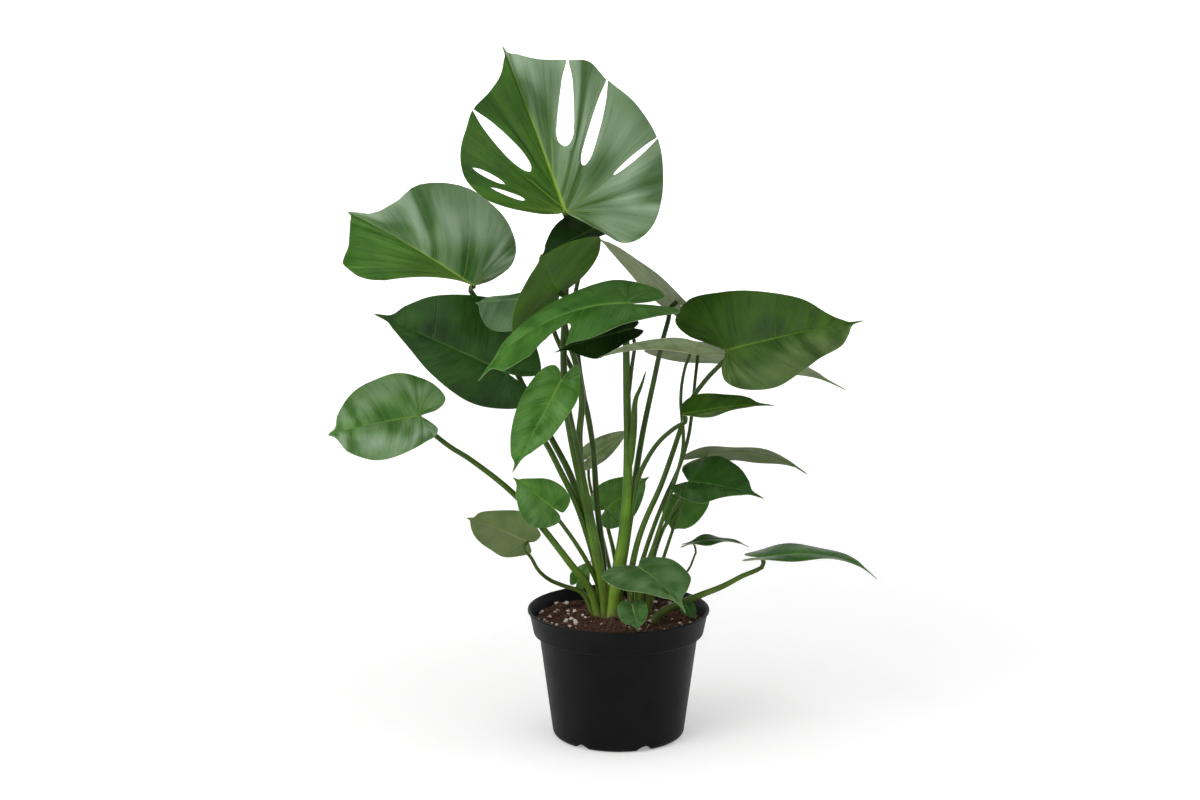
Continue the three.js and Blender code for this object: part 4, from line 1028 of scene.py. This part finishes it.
def pot_finish(colour):
    """Injection-moulded black polypropylene: a matte skin with a faint grain and dust."""
    dust_size, grain_size = 35 * MM, 1.1 * MM
    material, add = new_material("moulded_black_polypropylene")
    where = add("TexCoord").node.outputs["Object"]
    dust = add("TexNoise", where, 1 / dust_size, 5.0, 0.6)
    dusty = add("MapRange", dust, 0.4, 0.8, 0.0, 0.5)
    skin = add("Mix", dusty, colour, "#161617", data_type="RGBA")
    grain = add("TexNoise", where, 1 / grain_size, 2.0)
    rough = add("MapRange", dust, 0.3, 0.7, 0.42, 0.55)
    bump = add("Bump", Height=grain, Strength=0.25, Distance=0.12 * MM)
    plastic = add(
        "BsdfPrincipled", Base_Color=skin, Roughness=rough, IOR=1.49, Specular_IOR_Level=0.08,
        Normal=bump,
    )
    add("OutputMaterial", plastic)
    return material


def grit_finish(name, dark, light, size, rough=0.95):
    """Dry crumbly matter: no sheen, its colour mottled at the grain's size in mm."""
    material, add = new_material(name)
    where = add("TexCoord").node.outputs["Object"]
    mottle = add("TexNoise", where, 1 / (size * MM), 5.0, 0.7)
    colour = add("ValToRGB", mottle, stops=[(0.35, dark), (0.68, light)])
    bump = add("Bump", Height=mottle, Strength=0.8, Distance=0.6 * MM)
    matter = add("BsdfPrincipled", Base_Color=colour, Roughness=rough, Normal=bump)
    add("OutputMaterial", matter)
    return material


# ---- pot and mix ----
def turned(name, rings, sides):
    """Raises a ring of edges through each (radius, height) in mm and closes both ends."""
    deselect()
    radius, height = rings[0]
    bpy.ops.mesh.primitive_circle_add(
        vertices=sides, radius=radius * MM, fill_type="NOTHING", location=(0, 0, height * MM)
    )
    piece = bpy.context.object
    bpy.ops.object.mode_set(mode="EDIT")
    bpy.ops.mesh.select_all(action="SELECT")
    for wide, high in rings[1:]:
        bpy.ops.mesh.extrude_edges_move()
        ratio = wide / radius
        bpy.ops.transform.resize(value=(ratio, ratio, 1), center_override=(0, 0, 0))
        bpy.ops.transform.translate(value=(0, 0, (high - height) * MM))
        radius, height = wide, high
    edit_whole(piece, bpy.ops.mesh.fill_holes, sides=0)
    edit_whole(piece, bpy.ops.mesh.normals_make_consistent, inside=False)
    bpy.ops.object.transform_apply(location=True, rotation=True, scale=True)
    piece.name = piece.data.name = name
    return piece


def notch(pot, angle):
    """Cuts one low arched opening through the foot of the pot wall."""
    inside, through = 58, 30
    middle = 0.5 * (POT_FOOT_RADIUS + inside)
    deselect()
    bpy.ops.mesh.primitive_cylinder_add(
        vertices=40, radius=NOTCH_WIDTH / 2 * MM, depth=through * MM,
        location=(middle * math.cos(angle) * MM, middle * math.sin(angle) * MM, 0),
        rotation=(math.radians(90), 0, angle + math.radians(90)), scale=(1, NOTCH_RISE, 1),
    )
    cutter = bpy.context.object
    bpy.ops.object.transform_apply(location=True, rotation=True, scale=True)
    finish_modifier(pot, "BOOLEAN", operation="DIFFERENCE", solver="EXACT", object=cutter)
    pick(cutter)
    bpy.ops.object.delete()


def make_pot(finish):
    """The turned nursery pot: foot, tapered wall, stepped band and rolled lip."""
    band, rim, top = POT_HEIGHT - BAND_HEIGHT, RIM_RADIUS, POT_HEIGHT
    foot = POT_FOOT_RADIUS - FOOT_ROUNDING
    rings = [(20, 0.8), (foot - 1, 0)]
    for step in range(1, 8):
        angle = step / 7 * math.pi / 2
        rings.append(
            (foot + FOOT_ROUNDING * math.sin(angle), FOOT_ROUNDING * (1 - math.cos(angle)))
        )
    rings += [(87.2, band - 2.4), (87.6, band - 1.6), (88.3, band - 1.1)]
    rings += [(92.4, band - 0.5), (93.2, band + 0.1), (93.6, band + 1.1)]
    rings += [(97.8, top - 5), (98.4, top - 3.6), (99.6, top - 2.9)]
    rings += [(rim, top - 2.2), (rim, top - 0.9), (rim - 0.4, top - 0.2), (rim - 1.2, top)]
    rings += [(rim - 2.2, top - 0.1), (rim - 2.8, top - 0.8)]
    rings += [(92.3, band + 2.6), (91.3, band + 2.0), (86.0, band + 1.4), (85.4, band + 0.6)]
    rings += [(71.5, 9), (69, 4.4), (65, 3), (20, 3)]
    pot = turned("nursery_pot", rings, 160)
    for index in range(NOTCH_COUNT):
        notch(pot, math.radians(FIRST_NOTCH + index * 360 / NOTCH_COUNT))
    pot.data.materials.append(finish)
    smooth(pot, 32)
    return pot


def soil_height(x, y):
    """Height in mm of the mix: a soft mound with smaller swells and crumbs on it."""
    mound = 2.2 * math.cos(x / 31 + 0.6) * math.cos(y / 27 - 0.4)
    swell = 1.2 * math.sin(x / 11 - y / 14)
    lumps = noise.noise(Vector((x / 9, y / 9, 0.3))) * 1.6
    crumbs = noise.noise(Vector((x / 3.2, y / 3.2, 4.7))) * 1.3
    return SOIL_LEVEL + mound + swell + lumps + crumbs


def make_soil(finish):
    """The body of the potting mix, with an uneven top."""
    rings = [(20, 3.5), (62, 3.5), (68, 9), (84.6, 118.4), (89.5, 122), (92.5, SOIL_LEVEL)]
    wide, step = 92, 1.9
    while wide > 2:
        rings.append((wide, SOIL_LEVEL))
        wide -= step
    soil = turned("soil_body", rings, 200)
    for vertex in soil.data.vertices:
        x, y, z = (value / MM for value in vertex.co)
        if z > SOIL_LEVEL - 0.5:
            vertex.co.z = soil_height(x, y) * MM
    soil.data.materials.append(finish)
    smooth(soil, 80)
    return soil


def scatter(name, finish, count, sizes, squash, sink, seed, keep=0.0, jitter=0.3):
    """Grains of odd shape lying on the mix, joined into one piece.

    sizes: smallest and largest radius in mm. squash: how flat and how long they are.
    sink: share of the radius that is buried. keep: mm kept free round the stalks' foot.
    """
    random = np.random.default_rng(seed)
    deselect()
    bpy.ops.mesh.primitive_ico_sphere_add(subdivisions=1, radius=1)
    first = bpy.context.object
    ball = np.array([vertex.co for vertex in first.data.vertices])
    grains = []
    while len(grains) < count:
        distance = GRAIN_REACH * math.sqrt(random.random())
        angle = random.random() * 2 * math.pi
        x, y = distance * math.cos(angle), distance * math.sin(angle)
        if math.hypot(x - SHOOTS_MIDDLE[0], y - SHOOTS_MIDDLE[1]) < keep:
            continue
        radius = sizes[0] + (sizes[1] - sizes[0]) * random.random() ** 2.2
        shape = ball * (1 + jitter * (random.random(ball.shape[0])[:, None] - 0.5) * 2)
        shape = shape * (squash[1], 1.0, squash[0]) * radius
        turn = Matrix.Rotation(random.random() * 6.28, 3, "Z")
        turn = turn @ Matrix.Rotation((random.random() - 0.5) * 1.6, 3, "X")
        turn = turn @ Matrix.Rotation((random.random() - 0.5) * 1.2, 3, "Y")
        shape = shape @ np.array(turn).T
        shape += (x, y, soil_height(x, y) + radius * squash[0] * (1 - 2 * sink))
        copy = bpy.data.objects.new(name, first.data.copy())
        bpy.context.collection.objects.link(copy)
        copy.data.vertices.foreach_set("co", (shape * MM).ravel())
        grains.append(copy)
    pick(first)
    bpy.ops.object.delete()
    piece = join(name, grains)
    piece.data.materials.append(finish)
    smooth(piece, 30)
    return piece


# ---- stage ----
def make_stage(key_power):
    """Pale round floor with a rising rim, soft lights, dim surroundings and the camera."""
    flat, bend, edge = 4500, 1500, 8000
    arc = 2356  # a quarter turn of the bend

    def sweep(across, up):
        """The floor runs out from the pot and rises in a wide bend on all sides."""
        angle, run = across * 2 * math.pi, up * edge
        turn = np.clip((run - flat) / arc, 0, 1) * math.pi / 2
        out = np.minimum(run, flat) + bend * np.sin(turn)
        z = bend * (1 - np.cos(turn)) + np.maximum(run - flat - arc, 0)
        return np.stack([out * np.cos(angle), out * np.sin(angle), z], axis=1)

    floor, _ = shaped_grid(96, 60, sweep)
    edit_whole(floor, bpy.ops.mesh.remove_doubles, threshold=WELD * MM)
    floor.name = "stage_floor"
    # Matte white paper: a soft shadow near the pot, and its own light hides the far floor.
    material, add = new_material("matte_white_paper")
    where = add("TexCoord").node.outputs["Object"]
    bump = add("Bump", Height=add("TexNoise", where, 900.0), Strength=0.05)
    away = add("VectorMath", where, operation="LENGTH")
    paper = add(
        "BsdfPrincipled", Base_Color="#f7f7f6", Roughness=0.9, Normal=bump,
        Emission_Color="#ffffff", Emission_Strength=add("MapRange", away, 0.4, 3.2, 0.27, 0.8),
    )
    add("OutputMaterial", paper)
    material.cycles.emission_sampling = "NONE"
    floor.data.materials.append(material)
    smooth(floor, 80)

    middle = Vector((0, 0, 0.35))
    for name, place, size, power in (
        ("key_light", (-1.5, -2.2, 2.3), 1.5, key_power),
        ("side_light", (-2.0, -1.0, 0.5), 0.8, key_power * 0.5),
        ("top_light", (0.2, -0.3, 2.7), 2.2, key_power * 0.7),
        ("fill_light", (2.2, -2.0, 1.4), 1.6, key_power * 0.2),
    ):
        data = bpy.data.lights.new(name, "AREA")
        data.size = size
        data.energy = power
        lamp = bpy.data.objects.new(name, data)
        lamp.location = place
        lamp.rotation_euler = (middle - Vector(place)).to_track_quat("-Z", "Y").to_euler()
        lamp.visible_camera = False
        bpy.context.collection.objects.link(lamp)

    world = bpy.context.scene.world or bpy.data.worlds.new("studio")
    bpy.context.scene.world = world
    world.use_nodes = True
    world.node_tree.nodes.clear()
    sky = node(world.node_tree, "Background", "#fbfcff", 0.2)
    node(world.node_tree, "OutputWorld", sky)

    view = bpy.data.cameras.new("photo_camera")
    view.lens = LENS
    view.sensor_width = SENSOR
    camera = bpy.data.objects.new("photo_camera", view)
    camera.location = CAMERA_PLACE
    camera.rotation_euler = (math.radians(90 - CAMERA_DIP), 0, 0)
    bpy.context.collection.objects.link(camera)
    bpy.context.scene.camera = camera
    bpy.context.scene.view_settings.view_transform = "Standard"


# ---- add-on ----
def mount(piece, nodes):
    """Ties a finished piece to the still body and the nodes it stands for."""
    pick(piece)
    bpy.ops.object.origin_set(type="ORIGIN_CURSOR")
    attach(piece, "root")
    if nodes:
        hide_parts(*nodes)


COLOUR = {"subtype": "COLOR", "size": 4, "min": 0.0, "max": 1.0}


class PlantSettings(bpy.types.PropertyGroup):
    """Colours and amounts that a user would change."""

    pot_colour: bpy.props.FloatVectorProperty(
        name="Pot", description="Colour of the nursery pot's plastic",
        default=linear("#070708"), **COLOUR,
    )
    young: bpy.props.FloatVectorProperty(
        name="Young blade", description="Lighter tone of the newest leaf",
        default=linear("#4a7a2a"), **COLOUR,
    )
    grown: bpy.props.FloatVectorProperty(
        name="Grown blade", description="Lighter tone of the grown leaves",
        default=linear("#3a6412"), **COLOUR,
    )
    old: bpy.props.FloatVectorProperty(
        name="Old blade", description="Lighter tone of the oldest, darkest leaves",
        default=linear("#2f581c"), **COLOUR,
    )
    stalk: bpy.props.FloatVectorProperty(
        name="Stalk", description="Colour of the stout stalks at half height",
        default=linear("#375410"), **COLOUR,
    )
    blade: bpy.props.FloatProperty(
        name="Blade thickness", description="Thickness of the leaf blades",
        default=BLADE * MM, min=0.0004, max=0.0015, precision=5, unit="LENGTH",
    )
    perlite: bpy.props.IntProperty(
        name="Perlite grains", description="White grains lying on the potting mix",
        default=190, min=10, max=600,
    )
    crumbs: bpy.props.IntProperty(
        name="Peat crumbs", description="Brown crumbs lying on the potting mix",
        default=1500, min=100, max=3000,
    )
    key_power: bpy.props.FloatProperty(
        name="Key light", description="Power of the large soft light from the upper left",
        default=28.0, min=1.0, max=400.0, unit="POWER",
    )


class PLANT_OT_pot(bpy.types.Operator):
    """Add the nursery pot"""

    bl_idname = "plant.add_pot"
    bl_label = "Add pot"

    def execute(self, context):
        finish = pot_finish(tuple(context.scene.plant.pot_colour))
        mount(make_pot(finish), ["pot"])
        return {"FINISHED"}


class PLANT_OT_mix(bpy.types.Operator):
    """Add the potting mix with its crumbs, bark and perlite"""

    bl_idname = "plant.add_mix"
    bl_label = "Add potting mix"

    def execute(self, context):
        settings = context.scene.plant
        # Moist peat is dark and dull, bark a little redder, and perlite a chalky white.
        peat = grit_finish("moist_peat", "#26160e", "#66432d", 4.0)
        bark = grit_finish("shredded_bark", "#3a1f12", "#7d5236", 3.0)
        white = grit_finish("expanded_perlite", "#b9a796", "#e9e2d8", 1.6, rough=0.85)
        mount(make_soil(peat), ["soil"])
        for grains in (
            scatter("peat_crumbs", peat, settings.crumbs, (0.8, 3.2), (0.7, 1.2), 0.3, 5),
            scatter("bark_bits", bark, 150, (1.4, 3.4), (0.35, 1.9), 0.2, 11, jitter=0.4),
            scatter(
                "perlite", white, settings.perlite, (0.6, 3.1), (0.85, 1.1), 0.22, 23, keep=20
            ),
        ):
            mount(grains, [])
        return {"FINISHED"}


class PLANT_OT_stalks(bpy.types.Operator):
    """Add the leaf stalks"""

    bl_idname = "plant.add_stalks"
    bl_label = "Add stalks"

    def execute(self, context):
        rind = stalk_finish(tuple(context.scene.plant.stalk))
        for group in CROWNS:
            rods = [make_stalk(row) for row in LEAVES.values() if row["group"] == group]
            if group == "stems_main":
                rods.append(tube(ROLLED_LEAF, rolled_radius, sides=20, tone=0.7))
            piece = join(group.replace("stem", "stalk"), rods)
            piece.data.materials.clear()
            piece.data.materials.append(rind)
            smooth(piece, 60)
            mount(piece, [group])
        return {"FINISHED"}


class PLANT_OT_blades(bpy.types.Operator):
    """Add the leaf blades"""

    bl_idname = "plant.add_blades"
    bl_label = "Add blades"

    def execute(self, context):
        settings = context.scene.plant
        finishes = blade_finishes(settings)
        for leaf, row in LEAVES.items():
            name = leaf.replace("leaf", "blade")
            piece = make_blade(name, row, finishes, settings.blade / MM)
            mount(piece, [leaf])
        return {"FINISHED"}


class PLANT_OT_stage(bpy.types.Operator):
    """Add the pale floor, the soft lights and the camera"""

    bl_idname = "plant.add_stage"
    bl_label = "Add stage"

    def execute(self, context):
        make_stage(context.scene.plant.key_power)
        return {"FINISHED"}


class PLANT_PT_panel(bpy.types.Panel):
    """Buttons that build the plant"""

    bl_idname = "PLANT_PT_panel"
    bl_label = "Potted monstera"
    bl_space_type = "VIEW_3D"
    bl_region_type = "UI"
    bl_category = "Plant"

    def draw(self, context):
        layout = self.layout
        settings = context.scene.plant
        for name in PlantSettings.__annotations__:
            layout.prop(settings, name)
        for operator in OPERATORS:
            layout.operator(operator.bl_idname)


OPERATORS = (PLANT_OT_pot, PLANT_OT_mix, PLANT_OT_stalks, PLANT_OT_blades, PLANT_OT_stage)
CLASSES = (PlantSettings, *OPERATORS, PLANT_PT_panel)


def register():
    for item in CLASSES:
        bpy.utils.register_class(item)
    bpy.types.Scene.plant = bpy.props.PointerProperty(type=PlantSettings)


def unregister():
    del bpy.types.Scene.plant
    for item in reversed(CLASSES):
        bpy.utils.unregister_class(item)


def main():
    """Builds every piece and the stage."""
    register()
    bpy.ops.plant.add_pot()
    bpy.ops.plant.add_mix()
    bpy.ops.plant.add_stalks()
    bpy.ops.plant.add_blades()
    bpy.ops.plant.add_stage()
    deselect()
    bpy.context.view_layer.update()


if __name__ == "__main__":
    main()
